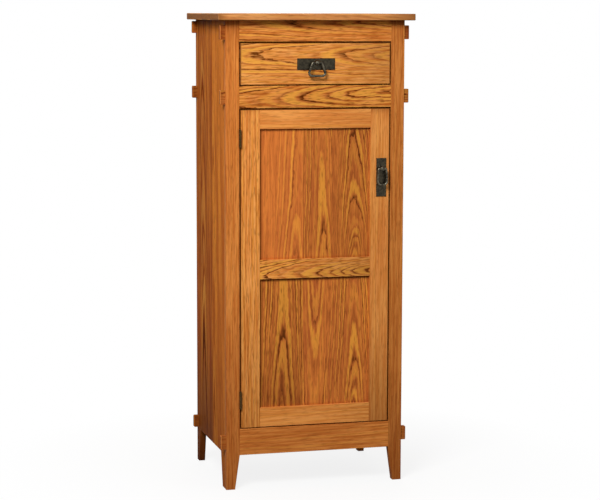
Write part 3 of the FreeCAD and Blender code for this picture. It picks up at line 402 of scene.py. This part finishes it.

# Long low reaches paint shade towards the floor on the stiles and sides, long high reaches paint shade
# towards the right on the drawer and the door's rails, and ARRIS rims paint the shade in the gaps round
# the door and the drawer.
BOARDS = {
    "face_stile_left": (FRAME, Log(
        "z", "-y", 75, 45, 0.006, 0.0, 6.0, 0.6, low_soak=600, high_soak=120, thirst=0.5, tone=1.08)),
    "face_stile_right": (FRAME, Log(
        "z", "-y", -85, 50, -0.006, 0.004, 6.0, 0.6, low_soak=360, thirst=0.5, tone=0.88)),
    "face_rail_top": (FRAME, Log(
        "x", "-y", 27, 40, -0.05, 0.01, 5.0, 1.3, low_soak=45, high_soak=45, thirst=0.9, tone=1.03)),
    "face_rail_middle": (FRAME, Log(
        "x", "-y", 0, 42, -0.06, 0.05, 5.0, 1.75, low_soak=45, high_soak=45, thirst=0.6)),
    "face_rail_bottom": (FRAME, Log(
        "x", "-y", -110, 60, 0.012, 0.02, 7.5, 0.6, low_soak=45, high_soak=45, thirst=0.6)),
    "drawer_front": (FRONT, Log(
        "x", "-y", 23, 50, -0.06, 0.01, 5.0, 1.15, low_soak=5, high_soak=170, thirst=0.3,
        rim={"-x": ARRIS, "x": ARRIS, "z": ARRIS})),
    "door_stile_left": (FRONT, Log(
        "z", "-y", -62, 40, 0.01, 0.01, 6.0, 1.2, low_soak=450, thirst=0.28, tone=1.12,
        rim={"-x": ARRIS, "z": ARRIS})),
    "door_stile_right": (FRONT, Log(
        "z", "-y", 85, 50, 0.008, 0.0, 7.5, 0.45, low_soak=280, thirst=0.45,
        rim={"x": ARRIS, "z": ARRIS})),
    "door_rail_top": (FRONT, Log(
        "x", "-y", -105, 70, 0.01, 0.01, 7.5, 0.45, high_soak=260, thirst=0.15, tone=1.09,
        rim={"z": ARRIS})),
    "door_rail_middle": (FRONT, Log(
        "x", "-y", -16, 40, -0.11, 0.02, 4.5, 1.75, high_soak=330, thirst=0.42, tone=1.13)),
    "door_rail_bottom": (FRONT, Log(
        "x", "-y", 95, 60, 0.02, 0.01, 7.5, 0.45, high_soak=150, thirst=0.2, tone=1.08)),
    "side_left_front_board": (SIDE, Log(
        "z", "-x", 60, 60, 0.02, 0.01, 7.0, 0.85, low_soak=470, thirst=0.6, tone=1.06, broad=7)),
    "side_left_back_board": (DARK_SIDE, Log(
        "z", "-x", 10, 60, 0.05, 0.02, 9.0, 0.9, low_soak=450, thirst=0.9, tone=1.06, broad=7)),
    "side_right_front_board": (SIDE, Log("z", "x", -20, 55, 0.04, 0.0, 6.0, 0.7)),
    "side_right_back_board": (SIDE, Log("z", "x", 80, 60, -0.02, 0.0, 6.0, 0.6)),
    "back_rail_top": (DARK_SIDE, Log(
        "x", "-y", 60, 50, 0.02, 0.0, 5.0, 0.6, low_soak=60, high_soak=60, thirst=0.4)),
    "back_rail_middle": (DARK_SIDE, Log(
        "x", "-y", 20, 50, 0.05, 0.0, 5.0, 0.7, low_soak=60, high_soak=60)),
    "back_rail_bottom": (DARK_SIDE, Log(
        "x", "-y", -70, 50, 0.02, 0.0, 5.0, 0.6, low_soak=60, high_soak=60)),
    "catch_block": (SIDE, Log("z", "y", 30, 40, 0.02, 0.0, 4.0, 0.5)),
    "drawer_side_left": (INSIDE, Log("y", "x", 30, 60, 0.05, 0.0, 4.0, 0.5)),
    "drawer_side_right": (INSIDE, Log("y", "x", -30, 60, -0.05, 0.0, 4.0, 0.5)),
    "drawer_back": (INSIDE, Log("x", "-y", 20, 60, 0.05, 0.0, 4.0, 0.5)),
    "top_cleat_left": (INSIDE, Log("y", "x", 50, 40, 0.02, 0.0, 4.0, 0.4)),
    "top_cleat_right": (INSIDE, Log("y", "x", 40, 40, 0.02, 0.0, 4.0, 0.4)),
    "drawer_runner_left": (INSIDE, Log("y", "z", 50, 40, 0.02, 0.0, 4.0, 0.4)),
    "drawer_runner_right": (INSIDE, Log("y", "z", -50, 40, 0.02, 0.0, 4.0, 0.4)),
    "drawer_kicker_left": (INSIDE, Log("y", "z", 45, 40, 0.02, 0.0, 4.0, 0.4)),
    "drawer_kicker_right": (INSIDE, Log("y", "z", -45, 40, 0.02, 0.0, 4.0, 0.4)),
    "drawer_stops": (INSIDE, Log("y", "z", 40, 40, 0.02, 0.0, 4.0, 0.4)),
    # sheets of oak-faced plywood, with the broad figure of a wide log
    "back_panel": (SIDE, Log("z", "y", 40, 160, 0.09, 0.02, 9.0, 0.55)),
    "drawer_bottom": (INSIDE, Log("x", "z", 30, 140, 0.08, 0.0, 7.0, 0.4)),
}
for seed, (node, (finish, log)) in enumerate(BOARDS.items(), 1):
    paint(nodes[node], oak(f"oak_{node}", *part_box(node), log, finish, seed))


# Panels and slabs glued up from staves

# Points this close to a glue line count as on it.
SAWN_THROUGH = 0.001 * MM


def stave(node, label, axis, low, high):
    """The part of a CAD node between two places on an axis, as a closed piece of its own."""
    mesh = merged(node)
    for place, side in ((low, -1), (high, 1)):
        if place is None:
            continue
        bmesh.ops.bisect_plane(
            mesh, geom=mesh.verts[:] + mesh.edges[:] + mesh.faces[:], dist=SAWN_THROUGH,
            plane_co=AXES[axis] * place, plane_no=AXES[axis] * side, clear_outer=True)
        open_edges = [edge for edge in mesh.edges if edge.is_boundary]
        bmesh.ops.holes_fill(mesh, edges=open_edges)
    bmesh.ops.recalc_face_normals(mesh, faces=mesh.faces)
    data = bpy.data.meshes.new(label)
    mesh.to_mesh(data)
    mesh.free()
    piece = bpy.data.objects.new(label, data)
    bpy.context.scene.collection.objects.link(piece)
    return piece


# body, slot, seed of the first stave, axis across the staves, joints in mm, finish, then each log
Glued = namedtuple("Glued", "body slot seed axis joints finish logs")
GLUED = {
    # CORNER rims are painted shadow where the door's frame shades the edges of its panels
    "door_panel_upper": Glued("door", "stained_oak_panel", 37, "x", (-36, 50), PANEL, (
        Log("z", "-y", 53, 60, 0.02, 0.02, 4.5, 0.5, tone=1.19, rim={"-x": CORNER}),
        Log("z", "-y", 13, 42, 0.034, -0.01, 4.5, 1.2),
        Log("z", "-y", 9, 38, 0.07, 0.0, 3.5, 1.0, tone=0.9))),
    "door_panel_lower": Glued("door", "stained_oak_panel", 36, "x", (-36, 35), PANEL, (
        Log("z", "-y", 12, 42, 0.035, 0.01, 5.0, 1.7, low_soak=220, thirst=0.32, tone=0.98,
            rim={"-x": CORNER, "z": CORNER}),
        Log("z", "-y", 2, 42, -0.04, 0.0, 4.5, 1.0, tone=1.12, rim={"z": CORNER}),
        Log("z", "-y", 14, 42, 0.06, 0.0, 4.5, 1.3, tone=1.06, rim={"z": CORNER}))),
    "top": Glued("cabinet", "stained_oak", 43, "y", (-105, 10, 120), SLAB, (
        # the front stave's long high reach is painted shade towards its right end
        Log("x", "z", 30, 60, 0.05, 0.02, 6.0, 0.7, low_soak=30, high_soak=110, tone=1.06),
        Log("x", "z", -10, 50, -0.06, 0.0, 6.0, 0.9, low_soak=30, high_soak=30),
        Log("x", "z", 60, 60, 0.02, 0.0, 5.5, 0.6, low_soak=30, high_soak=30),
        Log("x", "z", -20, 55, 0.06, 0.0, 6.0, 0.8, low_soak=30, high_soak=30))),
}

# The floor and the shelves take the same three staves in turn, with joints that move a little from
# one to the next.
SHELF_SEED = 50
SHELF_JOINTS = (-70, 62)
SHELF_JOINT_STEPS = (12, -9)
SHELF_LOGS = (
    Log("x", "z", -20, 50, 0.05, 0.0, 6.0, 0.8),
    Log("x", "z", 60, 60, -0.03, 0.02, 6.0, 0.6, tone=0.9),
    Log("x", "z", 15, 55, 0.06, 0.0, 6.0, 0.8, tone=1.05))
for turn, node in enumerate(("cabinet_floor", "shelf_lower", "shelf_middle", "shelf_upper")):
    first = turn % len(SHELF_LOGS)
    order = SHELF_LOGS[first:] + SHELF_LOGS[:first]
    joints = [joint + step * turn for joint, step in zip(SHELF_JOINTS, SHELF_JOINT_STEPS)]
    seed = SHELF_SEED + len(SHELF_LOGS) * turn
    GLUED[node] = Glued("cabinet", "stained_oak", seed, "y", joints, SIDE, order)

for node, board in GLUED.items():
    ends = [None] + [joint * MM for joint in board.joints] + [None]
    for number, (low, high, log) in enumerate(zip(ends, ends[1:], board.logs), 1):
        piece = stave(node, f"{node}_stave_{number}", board.axis, low, high)
        corners = [Vector(corner) for corner in piece.bound_box]
        lowest = corners[0]
        highest = corners[6]
        paint(piece, oak(
            f"oak_{piece.name}", lowest, highest, log, board.finish, board.seed + number - 1))
        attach(piece, board.body)
        if number == 1:
            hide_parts(node)


# Metals

# Levels of the mottling between which a metal's colour and its gloss change
WORN = (0.35, 0.75)
GLOSSY = (0.3, 0.7)
GLOSS_MORE = 0.08
GLOSS_LESS = 0.1
MOTTLE_STRENGTH = 0.5


def metal(name, colour, wear, roughness, grit, relief):
    """Metal with a mottled finish: grit is the size of its mottling in mm, relief its depth in mm."""
    material, tree = new_material(name)
    here = add(tree, "ShaderNodeTexCoord").outputs
    mottle = add(tree, "ShaderNodeTexNoise", {
        "Vector": here["Object"], "Scale": 1 / (grit * MM), "Detail": 3.0})
    share = add(tree, "ShaderNodeMapRange", {
        "Value": mottle, "From Min": WORN[0], "From Max": WORN[1]})
    tint = add(tree, "ShaderNodeMix", {
        "Factor": share, COLOUR_A: linear(colour), COLOUR_B: linear(wear)},
        data_type="RGBA").outputs[MIXED]
    gloss = add(tree, "ShaderNodeMapRange", {
        "Value": mottle, "From Min": GLOSSY[0], "From Max": GLOSSY[1],
        "To Min": roughness - GLOSS_MORE, "To Max": roughness + GLOSS_LESS})
    bump = add(tree, "ShaderNodeBump", {
        "Height": mottle, "Strength": MOTTLE_STRENGTH, "Distance": relief * MM})
    surface = add(tree, "ShaderNodeBsdfPrincipled", {
        "Base Color": tint, "Metallic": 1.0, "Roughness": gloss, "Normal": bump})
    add(tree, "ShaderNodeOutputMaterial", {"Surface": surface})
    return material


# Blackened bronze, cast, is nearly black and slightly uneven, with a soft broken gloss.
# Aged brass has gone dark brown and dull, with a little of its yellow left in patches.
# Zinc-plated steel is pale grey and fairly bright, with faint blotches.
METALS = {
    "dark_bronze": metal(
        "blackened_bronze", "#2F2B24", "#4A4436", roughness=0.36, grit=6.0, relief=0.15),
    "aged_hinge_metal": metal(
        "aged_brass", "#3A2A17", "#5A4427", roughness=0.4, grit=4.0, relief=0.05),
    "zinc_steel": metal(
        "zinc_plated_steel", "#B9B8B0", "#CFCEC8", roughness=0.3, grit=3.0, relief=0.02),
}
for part in frame["record"]["subparts"]:
    if part["material_slot"] in METALS:
        paint(nodes[part["node"]], METALS[part["material_slot"]])

# Where fingers take hold, the black is rubbed off to a browner, brighter bronze.
rubbed_bronze = metal("rubbed_bronze", "#322E27", "#6A6556", roughness=0.3, grit=8.0, relief=0.1)
for node in ("drawer_pull_post", "drawer_pull_ring", "door_pull_post", "door_pull_ring"):
    paint(nodes[node], rubbed_bronze)


# Small fasteners
# Geometry Nodes turn each one about its axis and set it on every place that the frame gives.

# A domed head is flat over this share of its radius.
HEAD_FLAT = 0.4

# Radius of a thread's core and half the height of its ridge, as shares of the shank's radius
THREAD_CORE = 0.76
THREAD_RIDGE = 0.16

# Width of a cross recess's slot and height of the cutter, half of it sunk, as shares of the recess
RECESS_SLOT = 0.26
RECESS_CUTTER = 0.8

# Radius of a screw's point
POINT = 0.1 * MM

# A Random Value node's sockets for plain numbers: least, greatest and result
LEAST = 2
GREATEST = 3
RANDOM = 1


def islands(node):
    """The lowest and highest corner of each separate solid in a CAD node."""
    mesh = merged(node)
    seen = set()
    boxes = []
    for first in mesh.verts:
        if first in seen:
            continue
        seen.add(first)
        island = [first]
        for vertex in island:
            for edge in vertex.link_edges:
                other = edge.other_vert(vertex)
                if other not in seen:
                    seen.add(other)
                    island.append(other)
        places = [tuple(vertex.co) for vertex in island]
        boxes.append((Vector(map(min, zip(*places))), Vector(map(max, zip(*places)))))
    mesh.free()
    return sorted(boxes, key=lambda box: tuple(box[0]))


def new_shape_tree(name, sizes):
    """A tree that takes places and named sizes and gives a shape, and the sockets of what it takes."""
    tree = bpy.data.node_groups.new(name, "GeometryNodeTree")
    tree.interface.new_socket("Places", in_out="INPUT", socket_type="NodeSocketGeometry")
    for label, kind in sizes.items():
        tree.interface.new_socket(label, in_out="INPUT", socket_type="NodeSocket" + kind)
    tree.interface.new_socket("Shape", in_out="OUTPUT", socket_type="NodeSocketGeometry")
    return tree, add(tree, "NodeGroupInput").outputs


def turned(tree, length, radius, stations, sides):
    """A closed round bar from the origin up +Z, with its radius worked out along it."""
    end = add(tree, "ShaderNodeCombineXYZ", {"Z": length})
    line = add(tree, "GeometryNodeCurvePrimitiveLine", {"End": end})
    line = add(tree, "GeometryNodeResampleCurve", {"Curve": line, "Count": stations})
    rim = add(tree, "GeometryNodeCurvePrimitiveCircle", {"Resolution": sides, "Radius": 1.0})
    return add(tree, "GeometryNodeCurveToMesh", {
        "Curve": line, "Profile Curve": rim, "Scale": radius, "Fill Caps": True})


def set_in_place(tree, given, shape, places):
    """Set a shape on every place, driven along Into and spun at random, and end the tree."""
    aim = add(tree, "FunctionNodeAlignRotationToVector", {"Vector": given["Into"]}, axis="Z")
    spin = add(tree, "FunctionNodeRandomValue", {
        LEAST: 0.0, GREATEST: math.tau, "Seed": given["Seed"]}, data_type="FLOAT").outputs[RANDOM]
    spin = add(tree, "FunctionNodeAxisAngleToRotation", {"Axis": (0, 0, 1), "Angle": spin})
    aim = add(tree, "FunctionNodeRotateRotation", {
        "Rotation": aim, "Rotate By": spin}, rotation_space="LOCAL")
    placed = add(tree, "GeometryNodeInstanceOnPoints", {
        "Points": places, "Instance": shape, "Rotation": aim})
    placed = add(tree, "GeometryNodeRealizeInstances", {"Geometry": placed})
    placed = add(tree, "GeometryNodeSetMaterial", {
        "Geometry": placed, "Material": given["Material"]})
    add(tree, "NodeGroupOutput", {"Shape": placed})


def domed_head(tree, diameter, height, stations, sides):
    """A low domed head: flat in the middle, rounded over to its rim."""
    along = add(tree, "GeometryNodeSplineParameter").outputs["Factor"]
    fall = add(tree, "ShaderNodeMath", {0: 1.0, 1: along}, operation="SUBTRACT")
    fall = add(tree, "ShaderNodeMath", {0: fall, 1: 2.0}, operation="POWER")
    swell = add(tree, "ShaderNodeMath", {0: 1.0, 1: fall}, operation="SUBTRACT")
    swell = add(tree, "ShaderNodeMath", {0: swell}, operation="SQRT")
    radius = add(tree, "ShaderNodeMath", {0: diameter, 1: 0.5}, operation="MULTIPLY")
    flat = add(tree, "ShaderNodeMath", {0: radius, 1: HEAD_FLAT}, operation="MULTIPLY")
    swell = add(tree, "ShaderNodeMapRange", {"Value": swell, "To Min": flat, "To Max": radius})
    return turned(tree, height, swell, stations, sides)


def thread(tree, given, shank):
    """A ridge that winds round the shank, from under the head to the tip."""
    length = add(
        tree, "ShaderNodeMath", {0: given["Length"], 1: given["Head Height"]}, operation="SUBTRACT")
    length = add(tree, "ShaderNodeMath", {0: length, 1: given["Tip"]}, operation="SUBTRACT")
    turns = add(tree, "ShaderNodeMath", {0: length, 1: given["Pitch"]}, operation="DIVIDE")
    middle = add(tree, "ShaderNodeMath", {0: shank, 1: 1 - THREAD_RIDGE}, operation="MULTIPLY")
    spiral = add(tree, "GeometryNodeCurveSpiral", {
        "Resolution": 14, "Rotations": turns, "Start Radius": middle, "End Radius": middle,
        "Height": length})
    ridge = add(tree, "ShaderNodeMath", {0: shank, 1: THREAD_RIDGE}, operation="MULTIPLY")
    diamond = add(tree, "GeometryNodeCurvePrimitiveCircle", {"Resolution": 4, "Radius": 1.0})
    wound = add(tree, "GeometryNodeCurveToMesh", {
        "Curve": spiral, "Profile Curve": diamond, "Scale": ridge, "Fill Caps": True})
    below_head = add(tree, "ShaderNodeCombineXYZ", {"Z": given["Head Height"]})
    return add(tree, "GeometryNodeTransform", {"Geometry": wound, "Translation": below_head})


def cross_cutter(tree, recess):
    """The cross that is cut out of a screw's head."""
    slot = add(tree, "ShaderNodeMath", {0: recess, 1: RECESS_SLOT}, operation="MULTIPLY")
    tall = add(tree, "ShaderNodeMath", {0: recess, 1: RECESS_CUTTER}, operation="MULTIPLY")
    bars = []
    for wide, narrow in (("X", "Y"), ("Y", "X")):
        size = add(tree, "ShaderNodeCombineXYZ", {wide: recess, narrow: slot, "Z": tall})
        bars.append(add(tree, "GeometryNodeMeshCube", {"Size": size}))
    return add(tree, "GeometryNodeMeshBoolean", {"Mesh 2": bars}, operation="UNION", solver="EXACT")


def screw_tree(name, domed):
    """A screw with a cross recess and a real thread, its head's outer face on the place."""
    tree, given = new_shape_tree(name, {
        "Head Diameter": "Float", "Head Height": "Float", "Shank Diameter": "Float",
        "Length": "Float", "Recess": "Float", "Pitch": "Float", "Tip": "Float", "Into": "Vector",
        "Seed": "Int", "Material": "Material"})
    along = add(tree, "GeometryNodeSplineParameter").outputs
    shank = add(tree, "ShaderNodeMath", {0: given["Shank Diameter"], 1: 0.5}, operation="MULTIPLY")
    if domed:
        head = domed_head(
            tree, given["Head Diameter"], given["Head Height"], stations=9, sides=32)
    else:
        rim = add(tree, "ShaderNodeMath", {0: given["Head Diameter"], 1: 0.5}, operation="MULTIPLY")
        cone = add(tree, "ShaderNodeMapRange", {
            "Value": along["Factor"], "To Min": rim, "To Max": shank})
        head = turned(tree, given["Head Height"], cone, stations=3, sides=32)
    core = add(tree, "ShaderNodeMath", {0: shank, 1: THREAD_CORE}, operation="MULTIPLY")
    left = add(
        tree, "ShaderNodeMath", {0: given["Length"], 1: along["Length"]}, operation="SUBTRACT")
    taper = add(tree, "ShaderNodeMapRange", {
        "Value": left, "From Max": given["Tip"], "To Min": POINT, "To Max": core})
    bar = turned(tree, given["Length"], taper, stations=24, sides=16)
    solid = add(
        tree, "GeometryNodeMeshBoolean", {"Mesh 2": [head, bar]}, operation="UNION", solver="EXACT")
    solid = add(tree, "GeometryNodeMeshBoolean", {
        "Mesh 1": solid, "Mesh 2": cross_cutter(tree, given["Recess"])},
        operation="DIFFERENCE", solver="EXACT")
    whole = add(tree, "GeometryNodeJoinGeometry", {"Geometry": [solid, thread(tree, given, shank)]})
    places = add(tree, "GeometryNodeMeshToPoints", {"Mesh": given["Places"]})
    set_in_place(tree, given, whole, places)
    return tree


def peg_tree():
    """A plain turned pin with bevelled ends."""
    tree, given = new_shape_tree("shelf_peg", {
        "Diameter": "Float", "Length": "Float", "Bevel": "Float", "Into": "Vector", "Seed": "Int",
        "Material": "Material"})
    along = add(tree, "GeometryNodeSplineParameter").outputs["Length"]
    left = add(tree, "ShaderNodeMath", {0: given["Length"], 1: along}, operation="SUBTRACT")
    nearest = add(tree, "ShaderNodeMath", {0: along, 1: left}, operation="MINIMUM")
    radius = add(tree, "ShaderNodeMath", {0: given["Diameter"], 1: 0.5}, operation="MULTIPLY")
    narrow = add(tree, "ShaderNodeMath", {0: radius, 1: given["Bevel"]}, operation="SUBTRACT")
    radius = add(tree, "ShaderNodeMapRange", {
        "Value": nearest, "From Max": given["Bevel"], "To Min": narrow, "To Max": radius})
    pin = turned(tree, given["Length"], radius, stations=21, sides=24)
    places = add(tree, "GeometryNodeMeshToPoints", {"Mesh": given["Places"]})
    set_in_place(tree, given, pin, places)
    return tree


def brad_tree():
    """Brads along a rectangle, at an even spacing, with low domed heads."""
    tree, given = new_shape_tree("panel_brads", {
        "Width": "Float", "Height": "Float", "Centre": "Vector", "Spacing": "Float",
        "Head Diameter": "Float", "Head Height": "Float", "Shank Diameter": "Float",
        "Length": "Float", "Into": "Vector", "Seed": "Int", "Material": "Material"})
    outline = add(tree, "GeometryNodeCurvePrimitiveQuadrilateral", {
        "Width": given["Width"], "Height": given["Height"]})
    outline = add(tree, "GeometryNodeResampleCurve", {
        "Curve": outline, "Length": given["Spacing"]}, mode="LENGTH")
    outline = add(tree, "GeometryNodeTransform", {
        "Geometry": outline, "Rotation": (math.pi / 2, 0, 0), "Translation": given["Centre"]})
    head = domed_head(tree, given["Head Diameter"], given["Head Height"], stations=5, sides=16)
    shank = add(tree, "ShaderNodeMath", {0: given["Shank Diameter"], 1: 0.5}, operation="MULTIPLY")
    nail = turned(tree, given["Length"], shank, stations=2, sides=8)
    whole = add(
        tree, "GeometryNodeMeshBoolean", {"Mesh 2": [head, nail]}, operation="UNION", solver="EXACT")
    set_in_place(tree, given, whole, outline)
    return tree


def grow(tree, label, body, slot, places, **sizes):
    """Run a tree on its places and keep what it makes as one plain mesh that rides on a body."""
    piece = bpy.data.objects.new(label, bpy.data.meshes.new(label))
    piece.data.from_pydata(places, [], [])
    bpy.context.scene.collection.objects.link(piece)
    modifier = piece.modifiers.new(label, "NODES")
    modifier.node_group = tree
    for socket in tree.interface.items_tree:
        name = socket.name.lower().replace(" ", "_")
        if name in sizes:
            modifier[socket.identifier] = sizes[name]
    shape = piece.evaluated_get(bpy.context.evaluated_depsgraph_get())
    finished = bpy.data.meshes.new_from_object(shape)
    piece.modifiers.remove(modifier)
    piece.data = finished
    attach(piece, body)
    return piece


COUNTERSUNK = screw_tree("countersunk_screw", domed=False)
DOMED = screw_tree("domed_screw", domed=True)

# tree, body, slot, the way it is driven, then head height, shank, recess, thread pitch and tip in mm
Screw = namedtuple("Screw", "tree body slot into head shank recess pitch tip")
SCREWS = {
    "hinge_screws_frame": Screw(
        COUNTERSUNK, "cabinet", "aged_hinge_metal", -RIGHT, 2.0, 3.0, 3.2, 1.2, 3.0),
    "hinge_screws_door": Screw(
        COUNTERSUNK, "door", "aged_hinge_metal", RIGHT, 2.0, 3.0, 3.2, 1.2, 3.0),
    "top_screws": Screw(DOMED, "cabinet", "zinc_steel", UP, 3.0, 4.5, 4.6, 1.8, 5.0),
    "drawer_pull_bolt": Screw(DOMED, "drawer", "zinc_steel", -BACK, 2.8, 4.0, 4.6, 0.9, 0.6),
    "door_pull_bolt": Screw(DOMED, "door", "zinc_steel", -BACK, 2.8, 4.0, 4.6, 0.9, 0.6),
}
for seed, (node, screw) in enumerate(SCREWS.items(), 1):
    boxes = islands(node)
    reach = boxes[0][1] - boxes[0][0]
    length = abs(reach.dot(screw.into))
    head_diameter = sorted(reach)[-2]
    heads = [(low + high) / 2 - screw.into * length / 2 for low, high in boxes]
    piece = grow(
        screw.tree, f"{node}_crossed", screw.body, screw.slot, heads,
        head_diameter=head_diameter, head_height=screw.head * MM, shank_diameter=screw.shank * MM,
        length=length, recess=screw.recess * MM, pitch=screw.pitch * MM, tip=screw.tip * MM,
        into=screw.into, seed=seed, material=METALS[screw.slot])
    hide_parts(node)

PEG_BEVEL = 1.0 * MM
pegs = islands("shelf_pegs")
peg_reach = pegs[0][1] - pegs[0][0]
peg_piece = grow(
    peg_tree(), "shelf_pegs_bevelled", "cabinet", "zinc_steel",
    [(low.x, (low.y + high.y) / 2, (low.z + high.z) / 2) for low, high in pegs],
    diameter=peg_reach.z, length=peg_reach.x, bevel=PEG_BEVEL, into=RIGHT, seed=1,
    material=METALS["zinc_steel"])
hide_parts("shelf_pegs")

BRAD_INSET = 4.5 * MM
BRAD_PROUD = 0.3 * MM
panel_low, panel_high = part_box("back_panel")
panel_middle = (panel_low + panel_high) / 2
grow(
    brad_tree(), "back_panel_brads", "cabinet", "zinc_steel", [],
    width=panel_high.x - panel_low.x - 2 * BRAD_INSET,
    height=panel_high.z - panel_low.z - 2 * BRAD_INSET,
    centre=(panel_middle.x, panel_high.y + BRAD_PROUD, panel_middle.z),
    spacing=140 * MM, head_diameter=3.4 * MM, head_height=0.9 * MM, shank_diameter=1.4 * MM,
    length=14 * MM, into=-BACK, seed=1, material=METALS["zinc_steel"])


# Studio

CUPBOARD_MIDDLE = Vector((0, 0, 0.75))
AMBIENT = 0.3
FLOOR_HALF = 12.0
FLOOR_CORNERS = ((-1, -1), (1, -1), (1, 1), (-1, 1))

# The floor is this share plain white where the shadow is, and all white further off, in metres.
PLAIN_NEAR = 0.85
SHADOW_REACH = (0.35, 1.0)


def area_light(name, place, size, power):
    """A soft white lamp that looks at the middle of the cupboard."""
    light = bpy.data.lights.new(name, "AREA")
    light.shape = "RECTANGLE"
    light.size, light.size_y = size
    light.energy = power
    lamp = bpy.data.objects.new(name, light)
    lamp.location = place
    lamp.rotation_euler = (CUPBOARD_MIDDLE - Vector(place)).to_track_quat("-Z", "Y").to_euler()
    bpy.context.scene.collection.objects.link(lamp)


def sees_background(tree):
    """1 for rays that show the background to the eye, straight or in metal, and 0 for its light."""
    rays = add(tree, "ShaderNodeLightPath").outputs
    seen = add(tree, "ShaderNodeMath", {
        0: rays["Is Camera Ray"], 1: rays["Is Glossy Ray"]}, operation="MAXIMUM")
    return add(
        tree, "ShaderNodeMath", {0: seen, 1: rays["Is Transmission Ray"]}, operation="MAXIMUM")


def white_paper():
    """Matt white paper: plain white further off, with the cupboard's soft shadow near it."""
    material, tree = new_material("white_paper")
    here = add(tree, "ShaderNodeTexCoord").outputs
    distance = add(tree, "ShaderNodeVectorMath", {0: here["Object"]}, operation="LENGTH")
    plain = add(tree, "ShaderNodeMapRange", {
        "Value": distance.outputs["Value"], "From Min": SHADOW_REACH[0], "From Max": SHADOW_REACH[1],
        "To Min": PLAIN_NEAR, "To Max": 1.0})
    plain = add(tree, "ShaderNodeMath", {0: plain, 1: sees_background(tree)}, operation="MULTIPLY")

    # grey to the light that it throws back, so that it doesn't light the cupboard from below
    rays = add(tree, "ShaderNodeLightPath").outputs
    shade = add(tree, "ShaderNodeMix", {
        "Factor": rays["Is Camera Ray"], COLOUR_A: linear("#5A5A58"), COLOUR_B: linear("#F4F4F2")},
        data_type="RGBA").outputs[MIXED]
    paper = add(tree, "ShaderNodeBsdfDiffuse", {"Color": shade})
    glow = add(tree, "ShaderNodeEmission", {"Color": linear("#FFFFFF"), "Strength": 1.0})
    surface = add(tree, "ShaderNodeMixShader", {0: plain, 1: paper, 2: glow})
    add(tree, "ShaderNodeOutputMaterial", {"Surface": surface})
    return material


area_light("key_light", (-1.75, -2.55, 3.2), size=(1.4, 1.4), power=138)
area_light("fill_light", (2.4, -3.0, 2.0), size=(1.6, 2.0), power=14)
area_light("back_light", (0.6, 3.4, 2.4), size=(2.0, 2.0), power=40)

world = bpy.data.worlds.new("studio")
bpy.context.scene.world = world
world.use_nodes = True
world.node_tree.nodes.clear()
level = add(world.node_tree, "ShaderNodeMapRange", {
    "Value": sees_background(world.node_tree), "To Min": AMBIENT, "To Max": 1.0})
sky = add(world.node_tree, "ShaderNodeBackground", {"Color": linear("#FFFFFF"), "Strength": level})
add(world.node_tree, "ShaderNodeOutputWorld", {"Surface": sky})

floor_mesh = bpy.data.meshes.new("studio_floor")
floor_mesh.from_pydata(
    [(x * FLOOR_HALF, y * FLOOR_HALF, 0) for x, y in FLOOR_CORNERS], [], [(0, 1, 2, 3)])
floor = bpy.data.objects.new("studio_floor", floor_mesh)
bpy.context.scene.collection.objects.link(floor)
paint(floor, white_paper())


# Camera at the photograph's place

CAMERA_PLACE = Vector((-1.4568, -5.4855, 1.383))
CAMERA_YAW = 0.2607
CAMERA_PITCH = -0.125
CAMERA_ROLL = 0.0025
CAMERA_LENS = 114.76
CAMERA_SENSOR = 36.0
CAMERA_SIGHT = 100.0
lens = bpy.data.cameras.new("photo_camera")
lens.lens = CAMERA_LENS
lens.sensor_width = CAMERA_SENSOR
lens.clip_end = CAMERA_SIGHT
camera = bpy.data.objects.new("photo_camera", lens)
camera.location = CAMERA_PLACE
camera.rotation_euler = (
    Matrix.Rotation(-CAMERA_YAW, 3, "Z") @ Matrix.Rotation(math.pi / 2 + CAMERA_PITCH, 3, "X")
    @ Matrix.Rotation(CAMERA_ROLL, 3, "Z")).to_euler()
bpy.context.scene.collection.objects.link(camera)
bpy.context.scene.camera = camera
bpy.context.scene.view_settings.view_transform = "Standard"
